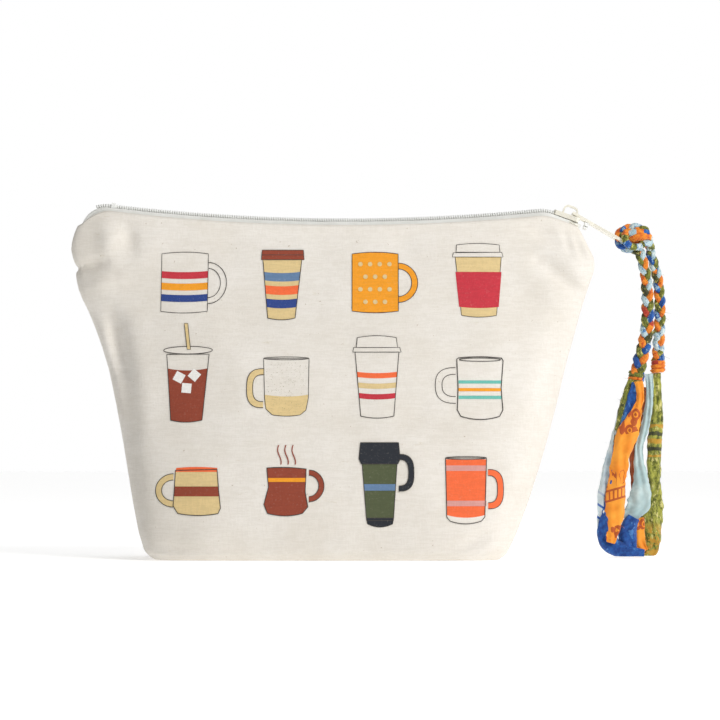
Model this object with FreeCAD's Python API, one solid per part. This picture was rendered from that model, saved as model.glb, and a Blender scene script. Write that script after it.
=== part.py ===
import FreeCAD, Part
import math
import os

V = FreeCAD.Vector

# Zippered pouch with a boxed bottom, a coil zipper along its top and a cloth wristlet on the pull.
# Frame: millimetres, origin at the middle of the base, +X towards the closed end of the zipper,
# +Y to the back, +Z up.

# ---- pouch shell -----------------------------------------------------------------------------
# Stations of the outer surface: height, left edge, right edge, half depth, squareness of the
# section (2 is an ellipse, larger is closer to a rectangle).
STATIONS = [
    (0.0, -80.5, 75.6, 35.5, 6.0),
    (4.0, -85.0, 79.6, 38.2, 6.0),
    (25.0, -90.4, 88.5, 38.0, 5.0),
    (55.0, -96.0, 98.2, 33.0, 3.8),
    (86.0, -102.6, 106.2, 26.0, 3.1),
    (105.0, -109.0, 111.2, 20.5, 2.9),
    (122.0, -116.2, 116.4, 15.5, 3.0),
    (138.0, -119.4, 119.2, 11.2, 3.4),
    (150.0, -117.6, 115.2, 9.0, 4.0),
    (168.0, -108.0, 104.0, 8.2, 5.0),
]
CANVAS = 0.9            # canvas thickness
LINING_GAP = 0.15       # air between canvas and lining
LINING = 0.5            # lining thickness
SECTION_POINTS = 36     # points round each section

# ---- zipper ----------------------------------------------------------------------------------
SAG_X = 6.0             # lowest point of the sagging zipper
SAG_Z = 154.7
SAG_R = 900.0           # radius of the sag
LEFT_CURL_X = -103.0    # where the left end starts to turn down
LEFT_CURL_R = 12.0
LEFT_CURL_END = 35.0    # slope at the left end, degrees
RIGHT_CURL_X = 94.0     # where the right end starts to turn down
RIGHT_CURL_R = 17.0
SLIDER_TILT = 20.0      # downward slope under the slider, degrees
SLIDER_ALONG = 6.1      # from the end of the right curl to the slider's centre
TAIL = 13.6             # straight tape past the right curl
RIM_DROP = 2.8          # canvas edge below the chain's centre
LINING_DROP = 5.5       # lining edge below the chain's centre
COIL_IN, COIL_OUT = 0.06, 2.3
COIL_HALF = 0.8         # half the coil's height
TAPE_TOP, TAPE_BOTTOM = -0.85, -1.3
TAPE_FLAT = 4.95        # the tape lies flat out to here, then slopes down to the canvas

# ---- slider and pull -------------------------------------------------------------------------
SLIDER_HALF = 6.3       # half length
NARROW, WIDE = 3.5, 4.6  # half widths at the meshed and at the open end
PLATE = 0.65            # plate thickness
CHANNEL_TOP, CHANNEL_BOTTOM = 0.95, -1.45
CROWN = (-2.6, 4.4)     # the bridge along the slider
CROWN_TOP = 6.0
CROWN_WALL = 0.8
CROWN_HALF = 1.4        # half width of the bridge
PIVOT = (2.6, 2.95)     # the pull's bar, in the slider's own axes
PULL_SLOPE = -30.0      # where the pull rests, degrees from horizontal
PULL_THICK = 1.3
BAR_R = 0.7
BAR_TO_EYE = 28.2       # from the pivot to the round bar past the eye
EYE_BAR_R = 0.9

# ---- wristlet --------------------------------------------------------------------------------
RING_R = 3.5            # the hitch's loop round the eye bar
RING_TUBE = 1.6
LEFT_LEG_R = 2.7
RIGHT_LEG_R = 2.35
LEFT_LEG = [(141.2, 0.4, 140.2), (143.8, 0.2, 131.5), (144.6, -0.4, 120.5), (144.8, -0.8, 109.5),
            (143.3, -1.2, 98.5), (140.6, -1.4, 88.5), (139.0, -1.4, 80.5)]
RIGHT_LEG = [(146.0, 2.9, 141.0), (148.9, 3.9, 133.0), (150.6, 4.6, 123.5), (151.0, 4.9, 113.0),
             (150.3, 4.6, 102.5), (149.9, 4.0, 94.0), (149.6, 3.8, 87.0)]
WRAP_WALL = 0.9
WRAP_LENGTH = 3.4
STRIP_THICK = 1.0
# Loose strips below the two wraps: width, middle of the thickness, route in X and Z.
STRIPS = {
    "strip_orange": (7.6, -6.9, [(139.0, 82.5), (135.4, 68.0), (132.4, 54.5), (129.0, 41.0),
                                 (127.4, 28.5), (126.6, 16.0), (130.5, 7.2), (138.5, 5.6)]),
    "strip_blue": (6.4, -5.6, [(137.8, 82.0), (133.4, 66.0), (130.6, 50.0), (128.8, 36.0),
                               (127.6, 22.0), (127.6, 11.0), (133.6, 4.6), (143.0, 4.2)]),
    "strip_pale": (6.4, -3.6, [(140.4, 78.4), (136.6, 63.0), (131.6, 49.0), (127.0, 37.0),
                               (124.8, 25.0), (126.2, 13.0), (132.0, 6.4), (140.0, 4.8)]),
    "strip_rust": (6.4, 5.6, [(148.0, 85.5), (143.2, 71.0), (139.9, 56.0), (136.3, 42.0),
                              (134.6, 28.0), (136.0, 15.0), (140.0, 5.6)]),
    "strip_aqua": (7.4, -1.4, [(147.8, 85.4), (144.8, 70.0), (142.4, 54.0), (142.6, 39.0),
                               (145.4, 25.0), (143.0, 13.0), (135.4, 5.8)]),
    "strip_olive": (7.2, 3.6, [(149.7, 85.6), (149.2, 70.0), (148.2, 55.0), (147.6, 40.0),
                               (148.0, 25.0), (147.6, 13.5), (141.6, 5.8), (133.0, 5.2)]),
}


# ---- the chain's line in the XZ plane --------------------------------------------------------
def on_arc(centre, radius, slope):
    """The point of a hump with this slope, in degrees."""
    a = math.radians(slope)
    return (centre[0] - radius * math.sin(a), centre[1] + radius * math.cos(a))


def chain_frame():
    """Centres, slopes and joints of the chain's line: sag, left curl, right curl, straight tail."""
    sag = (SAG_X, SAG_Z + SAG_R)
    slope_left = math.degrees(math.asin((LEFT_CURL_X - SAG_X) / SAG_R))
    slope_right = math.degrees(math.asin((RIGHT_CURL_X - SAG_X) / SAG_R))
    joints = []
    for x in (LEFT_CURL_X, RIGHT_CURL_X):
        joints.append((x, sag[1] - math.sqrt(SAG_R ** 2 - (x - SAG_X) ** 2)))
    left_start = on_arc((0, 0), LEFT_CURL_R, slope_left)
    left = (joints[0][0] - left_start[0], joints[0][1] - left_start[1])
    right_start = on_arc((0, 0), RIGHT_CURL_R, slope_right)
    right = (joints[1][0] - right_start[0], joints[1][1] - right_start[1])
    return sag, left, right, slope_left, slope_right


def slider_centre():
    right = chain_frame()[2]
    end = on_arc(right, RIGHT_CURL_R, -SLIDER_TILT)
    a = math.radians(SLIDER_TILT)
    return V(end[0] + SLIDER_ALONG * math.cos(a), 0, end[1] - SLIDER_ALONG * math.sin(a))


def flat(point, y=0.0):
    return V(point[0], y, point[1])


def chain_edges(lift, tail=TAIL, lead=0.0):
    """The chain's line lifted by `lift` along its normal, left to right."""
    sag, left, right, slope_left, slope_right = chain_frame()
    edges = []
    radius = LEFT_CURL_R + lift
    slopes = (LEFT_CURL_END, (LEFT_CURL_END + slope_left) / 2, slope_left)
    points = [flat(on_arc(left, radius, s)) for s in slopes]
    if lead:
        a = math.radians(LEFT_CURL_END)
        start = points[0] - V(math.cos(a), 0, math.sin(a)) * lead
        edges.append(Part.LineSegment(start, points[0]).toShape())
    edges.append(Part.Arc(*points).toShape())
    radius = SAG_R - lift
    slopes = (slope_left, (slope_left + slope_right) / 2, slope_right)
    points = []
    for s in slopes:
        a = math.radians(s)
        points.append(V(sag[0] + radius * math.sin(a), 0, sag[1] - radius * math.cos(a)))
    edges.append(Part.Arc(*points).toShape())
    radius = RIGHT_CURL_R + lift
    slopes = (slope_right, (slope_right - SLIDER_TILT) / 2, -SLIDER_TILT)
    points = [flat(on_arc(right, radius, s)) for s in slopes]
    edges.append(Part.Arc(*points).toShape())
    a = math.radians(SLIDER_TILT)
    end = points[2] + V(math.cos(a), 0, -math.sin(a)) * tail
    edges.append(Part.LineSegment(points[2], end).toShape())
    return edges


def above_chain(lift):
    """Everything above the lifted line, to cut an edge that follows the zipper."""
    edges = chain_edges(lift, tail=40.0, lead=40.0)
    first = edges[0].Vertexes[0].Point
    last = edges[-1].Vertexes[-1].Point
    corners = [last, V(last.x, 0, 220), V(first.x, 0, 220), first]
    for a, b in zip(corners, corners[1:]):
        edges.append(Part.LineSegment(a, b).toShape())
    face = Part.Face(Part.Wire(edges))
    face.translate(V(0, -80, 0))
    return face.extrude(V(0, 160, 0))


def along_chain(profile, tail=TAIL):
    """Sweep a closed (y, lift) outline along the chain's line."""
    wire = Part.Wire(chain_edges(0.0, tail))
    start = wire.Vertexes[0].Point
    a = math.radians(LEFT_CURL_END)
    normal = V(-math.sin(a), 0, math.cos(a))
    corners = [start + V(0, y, 0) + normal * lift for y, lift in profile]
    outline = Part.makePolygon(corners + corners[:1])
    return Part.Solid(wire.makePipeShell([outline], True, False))


# ---- pouch shell -----------------------------------------------------------------------------
def section(height, left, right, half_depth, square, inset):
    middle = (left + right) / 2
    half = (right - left) / 2 - inset
    depth = half_depth - inset
    points = []
    for k in range(SECTION_POINTS):
        a = 2 * math.pi * (k + 0.5) / SECTION_POINTS
        c, s = math.cos(a), math.sin(a)
        x = half * math.copysign(abs(c) ** (2 / square), c)
        y = depth * math.copysign(abs(s) ** (2 / square), s)
        points.append(V(middle + x, y, height))
    curve = Part.BSplineCurve()
    curve.interpolate(Points=points, PeriodicFlag=True)
    return Part.Wire(curve.toShape())


def hull(inset):
    """The pouch's solid outer form, shrunk by `inset`."""
    wires = []
    for height, left, right, depth, square in STATIONS:
        wires.append(section(max(height, inset), left, right, depth, square, inset))
    return Part.makeLoft(wires, True, False)


def half_space(side):
    box = Part.makeBox(320, 80, 220, V(-160, 0, -10))
    if side < 0:
        box.translate(V(0, -80, 0))
    return box


def panel(outer, inner, drop, side):
    shell = outer.cut(inner).cut(above_chain(-drop))
    return shell.common(half_space(side))


# ---- zipper ----------------------------------------------------------------------------------
def mirrored(outline, side):
    return [(side * y, lift) for y, lift in outline]


def in_slider(shape):
    """Move a shape from the slider's own axes to its place on the chain."""
    shape.rotate(V(0, 0, 0), V(0, 1, 0), SLIDER_TILT)
    shape.translate(slider_centre())
    return shape


def splayed_end(side):
    """The open end of one coil, which runs out round the slider's divider."""
    points = [(1.2, COIL_IN), (1.2, COIL_OUT), (8.3, COIL_OUT + 1.25), (8.3, COIL_IN + 1.45)]
    corners = [V(x, side * y, -COIL_HALF) for x, y in points]
    face = Part.Face(Part.makePolygon(corners + corners[:1]))
    return in_slider(face.extrude(V(0, 0, 2 * COIL_HALF)))


def coil(side):
    low, high = -COIL_HALF, COIL_HALF
    outline = [(COIL_IN, low), (COIL_OUT - 0.35, low), (COIL_OUT, -0.3), (COIL_OUT, 0.3),
               (COIL_OUT - 0.35, high), (COIL_IN, high)]
    straight = along_chain(mirrored(outline, side), tail=SLIDER_ALONG + 1.2)
    return straight.fuse(splayed_end(side)).removeSplitter()


def tape(side, canvas_inside):
    drop = 2.9
    reach = TAPE_FLAT + 4.2
    outline = [(0.4, TAPE_BOTTOM), (TAPE_FLAT, TAPE_BOTTOM), (reach, TAPE_BOTTOM - drop),
               (reach, TAPE_TOP - drop), (TAPE_FLAT, TAPE_TOP), (0.4, TAPE_TOP)]
    band = along_chain(mirrored(outline, side)).common(canvas_inside)
    corners = [V(1.4, 0, -3), V(20, 4.4, -3), V(20, -4.4, -3)]
    notch = Part.Face(Part.makePolygon(corners + corners[:1])).extrude(V(0, 0, 4))
    return band.cut(in_slider(notch))


def top_stop(side):
    """A crimp on the tape's edge, with its jaws above and below the tape."""
    low = Part.makeBox(1.8, 2.0, 0.55, V(8.9, 1.95, -1.92))
    high = Part.makeBox(1.8, 2.0, 1.5, V(8.9, 1.95, -0.8))
    web = Part.makeBox(1.8, 0.45, 2.62, V(8.9, 1.5, -1.92))
    stop = low.fuse(high).fuse(web).removeSplitter()
    notch = Part.makeBox(3, 3, 0.52, V(8.4, 1.75, -1.34))
    stop = stop.cut(notch)
    if side < 0:
        stop = stop.mirror(V(0, 0, 0), V(0, 1, 0))
    return in_slider(stop)


def bottom_stop():
    """A staple across both coils at the open end's far stop."""
    sag = chain_frame()[0]
    wide = COIL_OUT + 0.7
    cross = [(-wide, -0.8), (-wide, 1.5), (wide, 1.5), (wide, -0.8), (COIL_OUT + 0.15, -0.8),
             (COIL_OUT + 0.15, 0.95), (-COIL_OUT - 0.15, 0.95), (-COIL_OUT - 0.15, -0.8)]
    corners = [V(-0.9, y, z) for y, z in cross]
    staple = Part.Face(Part.makePolygon(corners + corners[:1])).extrude(V(1.8, 0, 0))
    slope = math.asin((-100.9 - SAG_X) / SAG_R)
    staple.rotate(V(0, 0, 0), V(0, 1, 0), -math.degrees(slope))
    staple.translate(V(-100.9, 0, sag[1] - SAG_R * math.cos(slope)))
    return staple


# ---- slider and pull -------------------------------------------------------------------------
def plate(low, thick):
    """A slider plate: narrow where the chain is meshed, wide where it is open."""
    half = SLIDER_HALF
    corners = [(-half, NARROW - 0.9), (-half + 0.9, NARROW), (0.6, NARROW + 0.25),
               (half - 1.5, WIDE), (half, WIDE - 1.2)]
    outline = corners + [(x, -y) for x, y in reversed(corners)]
    points = [V(x, y, low) for x, y in outline]
    return Part.Face(Part.makePolygon(points + points[:1])).extrude(V(0, 0, thick))


def slider_body():
    top = plate(CHANNEL_TOP, PLATE)
    bottom = plate(CHANNEL_BOTTOM - PLATE, PLATE)
    body = top.fuse(bottom)
    flange_depth = CHANNEL_TOP + 0.55
    for side in (-1, 1):
        rail = plate(-0.55, flange_depth + 0.1)
        inner = [(-9, NARROW - 0.75), (0.6, NARROW - 0.5), (SLIDER_HALF - 1.5, WIDE - 0.75),
                 (9, WIDE - 0.75)]
        outline = inner + [(9, -9), (-9, -9)]
        points = [V(x, side * y, -1) for x, y in outline]
        away = Part.Face(Part.makePolygon(points + points[:1])).extrude(V(0, 0, 3))
        body = body.fuse(rail.cut(away))
    points = [V(2.2, 0, CHANNEL_BOTTOM), V(4.4, 0.6, CHANNEL_BOTTOM), V(5.9, 0.8, CHANNEL_BOTTOM),
              V(5.9, -0.8, CHANNEL_BOTTOM), V(4.4, -0.6, CHANNEL_BOTTOM)]
    divider = Part.Face(Part.makePolygon(points + points[:1]))
    body = body.fuse(divider.extrude(V(0, 0, CHANNEL_TOP - CHANNEL_BOTTOM)))
    body = body.fuse(crown()).removeSplitter()
    return in_slider(body)


def crown():
    """The bridge over the pull's bar: a rounded arch standing on the top plate."""
    foot = CHANNEL_TOP + PLATE / 2
    outer = Part.makeBox(CROWN[1] - CROWN[0], 2 * CROWN_HALF, CROWN_TOP - foot,
                         V(CROWN[0], -CROWN_HALF, foot))
    tall = [e for e in outer.Edges if abs(e.CenterOfMass.z - CROWN_TOP) < 1e-6
            and abs(e.CenterOfMass.y) < 1e-6]
    outer = outer.makeFillet(2.2, tall)
    inner = Part.makeBox(CROWN[1] - CROWN[0] - 2 * CROWN_WALL, 4 * CROWN_HALF,
                         CROWN_TOP - CROWN_WALL - foot, V(CROWN[0] + CROWN_WALL, -2 * CROWN_HALF, foot))
    tall = [e for e in inner.Edges if abs(e.CenterOfMass.z - CROWN_TOP + CROWN_WALL) < 1e-6
            and abs(e.CenterOfMass.y) < 1e-6]
    inner = inner.makeFillet(1.4, tall)
    return outer.cut(inner)


def pull_pivot():
    a = math.radians(SLIDER_TILT)
    x, z = PIVOT
    return slider_centre() + V(x * math.cos(a) + z * math.sin(a), 0, -x * math.sin(a) + z * math.cos(a))


def pull_tab():
    """A flat pull: a round bar under the crown, a window round the crown's leg, a blade and an eye."""
    half = PULL_THICK / 2
    outline = [(0, 3.1), (6.8, 3.1), (10.5, 2.7), (17.0, 3.6), (22.0, 4.1), (BAR_TO_EYE, 4.1)]
    corners = [V(u, v, -half) for u, v in outline]
    corners += [V(u, -v, -half) for u, v in reversed(outline)]
    blade = Part.Face(Part.makePolygon(corners + corners[:1])).extrude(V(0, 0, PULL_THICK))
    window = Part.makeBox(7.5, 3.9, 4, V(-1.0, -1.95, -2))
    eye = Part.makeBox(4.6, 4.8, 4, V(22.4, -2.4, -2))
    blade = blade.cut(window).cut(eye)
    bar = Part.makeCylinder(BAR_R, 6.2, V(0, -3.1, 0), V(0, 1, 0))
    tip = Part.makeCylinder(EYE_BAR_R, 8.2, V(BAR_TO_EYE, -4.1, 0), V(0, 1, 0))
    tab = blade.fuse(bar).fuse(tip).removeSplitter()
    tab.rotate(V(0, 0, 0), V(0, 1, 0), -PULL_SLOPE)
    tab.translate(pull_pivot())
    return tab


# ---- wristlet --------------------------------------------------------------------------------
def hitch_centre():
    a = math.radians(PULL_SLOPE)
    return pull_pivot() + V(math.cos(a), 0, math.sin(a)) * BAR_TO_EYE


def route_wire(points, label):
    """Straight runs joined by tangent arcs, each arc as large as its two runs allow."""
    pts = [V(*p) for p in points]
    edges = []
    radii = []
    start = pts[0]
    for before, corner, after in zip(pts, pts[1:], pts[2:]):
        to_before = (before - corner).normalize()
        to_after = (after - corner).normalize()
        turn = math.pi - to_before.getAngle(to_after)
        shorter = min((before - corner).Length, (after - corner).Length)
        reach = 0.45 * shorter
        radius = reach / math.tan(turn / 2)
        radii.append(radius)
        first = corner + to_before * reach
        last = corner + to_after * reach
        bisector = (to_before + to_after).normalize()
        centre = corner + bisector * (radius / math.cos(turn / 2))
        middle = centre - bisector * radius
        edges.append(Part.LineSegment(start, first).toShape())
        edges.append(Part.Arc(first, middle, last).toShape())
        start = last
    edges.append(Part.LineSegment(start, pts[-1]).toShape())
    wire = Part.Wire(edges)
    print(label, "length", round(wire.Length, 1), "smallest radius", round(min(radii), 1))
    return wire


def tube(points, radius, label):
    wire = route_wire(points, label)
    start = V(*points[0])
    direction = (V(*points[1]) - start).normalize()
    circle = Part.Wire(Part.makeCircle(radius, start, direction))
    solid = Part.Solid(wire.makePipeShell([circle], True, True))
    ratio = solid.Volume / (math.pi * radius ** 2 * wire.Length)
    print(label, "volume over section times length", round(ratio, 4))
    return solid


def ribbon(points, width, middle_y, label):
    route = [(x, middle_y, z) for x, z in points]
    wire = route_wire(route, label)
    start = V(*route[0])
    direction = (V(*route[1]) - start).normalize()
    across = V(direction.z, 0, -direction.x) * (width / 2)
    thick = V(0, STRIP_THICK / 2, 0)
    corners = [start + across + thick, start + across - thick,
               start - across - thick, start - across + thick]
    outline = Part.makePolygon(corners + corners[:1])
    solid = Part.Solid(wire.makePipeShell([outline], True, False))
    ratio = solid.Volume / (width * STRIP_THICK * wire.Length)
    print(label, "volume over section times length", round(ratio, 4))
    return solid


def hitch():
    """A loop through the eye, closed by a knot from which the two legs leave."""
    centre = hitch_centre()
    ring = Part.makeTorus(RING_R, RING_TUBE, centre, V(0, 1, 0))
    knot = Part.makeSphere(4.6)
    stretch = FreeCAD.Matrix()
    stretch.scale(0.82, 1.05, 1.25)
    knot = knot.transformGeometry(stretch)
    knot.translate(centre + V(7.4, 1.4, 1.6))
    keep_out = Part.makeCylinder(RING_R - RING_TUBE, 20, centre - V(0, 10, 0), V(0, 1, 0))
    return ring.fuse(knot.cut(keep_out)).removeSplitter()


def wrap(points, leg_radius):
    """A thread-like winding of cloth round the foot of one leg."""
    foot = V(*points[-1])
    direction = (foot - V(*points[-2])).normalize()
    length = WRAP_LENGTH
    outer = Part.makeCylinder(leg_radius + WRAP_WALL, length, foot - direction * (length * 0.7), direction)
    inner = Part.makeCylinder(leg_radius, length * 0.7, foot - direction * (length * 0.7), direction)
    return outer.cut(inner)


def build():
    parts = {}
    outer = hull(0.0)
    inside = hull(CANVAS)
    lining_outer = hull(CANVAS + LINING_GAP)
    lining_inner = hull(CANVAS + LINING_GAP + LINING)
    for name, side in (("front", -1), ("back", 1)):
        parts[name + "_panel"] = panel(outer, inside, RIM_DROP, side)
        parts["lining_" + name] = panel(lining_outer, lining_inner, LINING_DROP, side)
        parts["zipper_tape_" + name] = tape(side, inside)
        parts["zipper_coil_" + name] = coil(side)
    parts["top_stops"] = Part.makeCompound([top_stop(-1), top_stop(1)])
    parts["bottom_stop"] = bottom_stop()
    parts["slider_body"] = slider_body()
    parts["pull_tab"] = pull_tab()
    left = tube(LEFT_LEG, LEFT_LEG_R, "wristlet_braid_left")
    right = tube(RIGHT_LEG, RIGHT_LEG_R, "wristlet_braid_right")
    knot = hitch()
    parts["wristlet_braid_left"] = left.cut(knot)
    parts["wristlet_braid_right"] = right.cut(knot)
    parts["wristlet_hitch"] = knot
    parts["wrap_left"] = wrap(LEFT_LEG, LEFT_LEG_R)
    parts["wrap_right"] = wrap(RIGHT_LEG, RIGHT_LEG_R)
    for name, (width, middle_y, points) in STRIPS.items():
        parts[name] = ribbon(points, width, middle_y, name)
    return parts


os.makedirs("parts", exist_ok=True)
print("slider centre", slider_centre(), "pull pivot", pull_pivot(), "hitch centre", hitch_centre())
for name, shape in sorted(build().items()):
    print(name, [(round(s.Volume, 2), s.isValid()) for s in shape.Solids])
    shape.exportStep("parts/" + name + ".step")
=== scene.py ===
import math
import bpy
import numpy as np
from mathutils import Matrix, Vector, geometry, noise


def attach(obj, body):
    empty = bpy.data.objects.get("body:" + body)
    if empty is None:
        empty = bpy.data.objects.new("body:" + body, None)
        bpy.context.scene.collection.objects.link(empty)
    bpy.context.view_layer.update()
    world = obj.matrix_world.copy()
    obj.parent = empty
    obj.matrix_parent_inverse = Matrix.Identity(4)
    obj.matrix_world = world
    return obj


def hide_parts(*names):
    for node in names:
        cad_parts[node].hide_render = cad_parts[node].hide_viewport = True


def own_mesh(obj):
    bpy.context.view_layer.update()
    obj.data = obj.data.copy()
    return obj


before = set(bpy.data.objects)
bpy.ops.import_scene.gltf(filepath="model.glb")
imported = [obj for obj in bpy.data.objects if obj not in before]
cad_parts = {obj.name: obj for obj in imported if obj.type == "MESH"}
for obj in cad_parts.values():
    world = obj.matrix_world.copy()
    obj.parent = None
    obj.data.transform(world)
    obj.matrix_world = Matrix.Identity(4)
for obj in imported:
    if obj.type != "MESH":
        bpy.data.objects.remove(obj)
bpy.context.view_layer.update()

MM = 0.001

# ---- camera, lights and floor ------------------------------------------------------------------
CAMERA = Vector((12.4, -1150.0, 45.0)) * MM
AIM_UP = math.radians(2.265)
LENS = 125.27


def make_camera():
    data = bpy.data.cameras.new("camera")
    data.lens = LENS
    data.sensor_width = 36
    data.clip_start = 0.01
    camera = bpy.data.objects.new("camera", data)
    bpy.context.collection.objects.link(camera)
    camera.location = CAMERA
    camera.rotation_euler = (math.pi / 2 + AIM_UP, 0, 0)
    bpy.context.scene.camera = camera


def area_light(name, place, target, size, watts, colour=(1, 1, 1)):
    data = bpy.data.lights.new(name, "AREA")
    data.shape = "SQUARE"
    data.size = size
    data.energy = watts
    data.color = colour
    lamp = bpy.data.objects.new(name, data)
    bpy.context.collection.objects.link(lamp)
    lamp.location = place
    lamp.rotation_euler = (Vector(target) - Vector(place)).to_track_quat("-Z", "Y").to_euler()


def make_studio():
    """A white room, dimmer in front and to the left, and one soft key light from the right."""
    bpy.context.scene.view_settings.view_transform = "Standard"
    world = bpy.data.worlds.new("studio")
    bpy.context.scene.world = world
    world.use_nodes = True
    tree = world.node_tree
    place = tree.nodes.new("ShaderNodeTexCoord")
    split = tree.nodes.new("ShaderNodeSeparateXYZ")
    tree.links.new(place.outputs["Generated"], split.inputs[0])
    slant = tree.nodes.new("ShaderNodeMath")
    slant.operation = "MULTIPLY_ADD"
    slant.inputs[1].default_value = 1.4
    tree.links.new(split.outputs[0], slant.inputs[0])
    tree.links.new(split.outputs[1], slant.inputs[2])
    ramp = tree.nodes.new("ShaderNodeMapRange")
    ramp.interpolation_type = "SMOOTHSTEP"
    for socket, value in zip(ramp.inputs[1:5], (-1.4, 0.78, 0.06, 1.0)):
        socket.default_value = value
    tree.links.new(slant.outputs[0], ramp.inputs[0])
    background = tree.nodes["Background"]
    background.inputs[0].default_value = (1, 1, 1, 1)
    tree.links.new(ramp.outputs[0], background.inputs[1])
    area_light("key", (0.75, -0.88, 0.88), (0, 0, 0.08), 0.45, 8.0, (1, 0.99, 0.98))
    corners = [[Vector((x, y, -0.0002)) for x in (-30, 30)] for y in (-30, 8)]
    floor = grid_mesh("floor", corners, MATERIALS["floor"])


# ---- mesh helpers ------------------------------------------------------------------------------
def new_mesh(name, verts, faces, materials, slots=()):
    """An object from points and faces. slots gives each face's material."""
    mesh = bpy.data.meshes.new(name)
    mesh.from_pydata([tuple(v) for v in verts], [], faces)
    mesh.update()
    obj = bpy.data.objects.new(name, mesh)
    bpy.context.collection.objects.link(obj)
    for material in materials:
        mesh.materials.append(material)
    mesh.shade_smooth()
    for face, slot in zip(mesh.polygons, slots):
        face.material_index = slot
    return obj


def grid_mesh(name, rows, material, close=False):
    """A sheet of quads from rows of points. Closed rows make a capped tube."""
    across = len(rows[0])
    verts = [p for row in rows for p in row]
    faces = []
    for r in range(len(rows) - 1):
        for c in range(across if close else across - 1):
            a, b = r * across + c, r * across + (c + 1) % across
            faces.append((a, b, b + across, a + across))
    if close:
        faces += [tuple(range(across))[::-1], tuple(range(len(verts) - across, len(verts)))]
    return new_mesh(name, verts, faces, [material])


def solidify(obj, thickness, offset=-1.0):
    mod = obj.modifiers.new("thickness", "SOLIDIFY")
    mod.thickness = thickness * MM
    mod.offset = offset
    return obj


def wobble(p, size, seed=0.0):
    """Smooth noise from -1 to 1 that changes over about `size` mm."""
    return noise.noise(Vector((p[0] / size + seed, p[1] / size - seed, p[2] / size + 0.37 * seed)))


# ---- materials ---------------------------------------------------------------------------------
MATERIALS = {}


class Nodes:
    """A small wrapper that adds and joins shader nodes."""

    def __init__(self, name):
        self.name = name
        self.material = bpy.data.materials.new("look_" + name)
        self.material.use_nodes = True
        self.tree = self.material.node_tree
        self.shader = self.tree.nodes["Principled BSDF"]
        self.place = self.tree.nodes.new("ShaderNodeTexCoord").outputs["Object"]

    def add(self, kind, **values):
        node = self.tree.nodes.new("ShaderNode" + kind)
        for key, value in values.items():
            if hasattr(node, key):
                setattr(node, key, value)
            else:
                self.put(value, node.inputs[key])
        return node

    def put(self, value, socket):
        if isinstance(value, bpy.types.NodeSocket):
            self.tree.links.new(value, socket)
        else:
            socket.default_value = value

    def scaled(self, x, y, z):
        node = self.add("Mapping")
        self.put(self.place, node.inputs["Vector"])
        node.inputs["Scale"].default_value = (x, y, z)
        return node.outputs[0]

    def math(self, how, a, b=0.5, c=0.5):
        node = self.add("Math", operation=how)
        for value, socket in zip((a, b, c), node.inputs):
            self.put(value, socket)
        return node.outputs[0]

    def noise(self, size, detail=3.0, rough=0.5, stretch=(1, 1, 1)):
        """Noise whose lumps are about `size` mm across."""
        place = self.scaled(*(s * 1000 / size for s in stretch))
        node = self.add("TexNoise", Scale=1.0, Detail=detail, Roughness=rough)
        self.put(place, node.inputs["Vector"])
        return node.outputs[0]

    def step(self, value, low, high, out_low=0.0, out_high=1.0):
        node = self.add("MapRange", interpolation_type="SMOOTHSTEP")
        for socket, number in zip(node.inputs, (value, low, high, out_low, out_high)):
            self.put(number, socket)
        return node.outputs[0]

    def mix(self, share, a, b):
        node = self.add("Mix", data_type="RGBA")
        self.put(share, node.inputs["Factor"])
        self.put(colour4(a), node.inputs[6])
        self.put(colour4(b), node.inputs[7])
        return node.outputs[2]

    def tint(self, colour, share, strength, ink):
        """Lay `ink` over a colour where `share` is high. Used for print, flecks and painted shade in a weave's
        hollows.
        """
        return self.mix(self.math("MULTIPLY", share, strength), colour, ink)

    def bands(self, axis, pitch):
        """Ribs `pitch` mm apart along one axis, from 0 to 1."""
        node = self.add("TexWave", wave_type="BANDS", bands_direction=axis, wave_profile="SIN")
        node.inputs["Scale"].default_value = 2 * math.pi / 20 / (pitch * MM)
        node.inputs["Distortion"].default_value = 0.6
        node.inputs["Detail"].default_value = 1.0
        node.inputs["Detail Scale"].default_value = 1.2
        self.put(self.place, node.inputs["Vector"])
        return node.outputs["Fac"]

    def canvas(self):
        """A coarse plain weave with thick and thin yarns both ways, as bump. Returns the yarns' relief."""
        across = self.noise(0.62, 2.0, 0.6, (0.16, 0.16, 1))
        upright = self.noise(0.66, 2.0, 0.6, (1, 1, 0.14))
        slub = self.noise(1.5, 3.0, 0.6, (0.12, 0.12, 1))
        fuzz = self.noise(0.5, 2.0, 0.6)
        height = self.math("MULTIPLY_ADD", across, 1.3, upright)
        height = self.math("ADD", height, self.math("MULTIPLY", slub, 1.2))
        height = self.math("MULTIPLY_ADD", fuzz, 0.6, height)
        self.bump(height, 0.42, 0.2)
        return height

    def weave(self, pitch, strength, depth=0.12):
        """A plain weave as bump, with slubs."""
        over = self.math("MULTIPLY", self.bands("X", pitch), self.bands("Z", pitch * 0.93))
        slub = self.noise(2.2, 4.0, 0.6, (1, 1, 0.35))
        height = self.math("ADD", over, self.math("MULTIPLY", slub, 1.6))
        self.bump(height, strength, depth)
        return over

    def bump(self, height, strength, depth):
        node = self.add("Bump", Strength=strength)
        node.inputs["Distance"].default_value = depth * MM
        self.put(height, node.inputs["Height"])
        self.put(node.outputs[0], self.shader.inputs["Normal"])

    def finish(self, colour, roughness, sheen=0.0):
        self.put(colour4(colour), self.shader.inputs["Base Color"])
        self.put(roughness, self.shader.inputs["Roughness"])
        self.shader.inputs["Sheen Weight"].default_value = sheen
        MATERIALS[self.name] = self.material


def colour4(c):
    return c if isinstance(c, bpy.types.NodeSocket) else (*c[:3], 1.0)


def srgb(r, g, b):
    out = []
    for v in (r, g, b):
        v /= 255
        out.append(v / 12.92 if v <= 0.04045 else ((v + 0.055) / 1.055) ** 2.4)
    return tuple(out)


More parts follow.
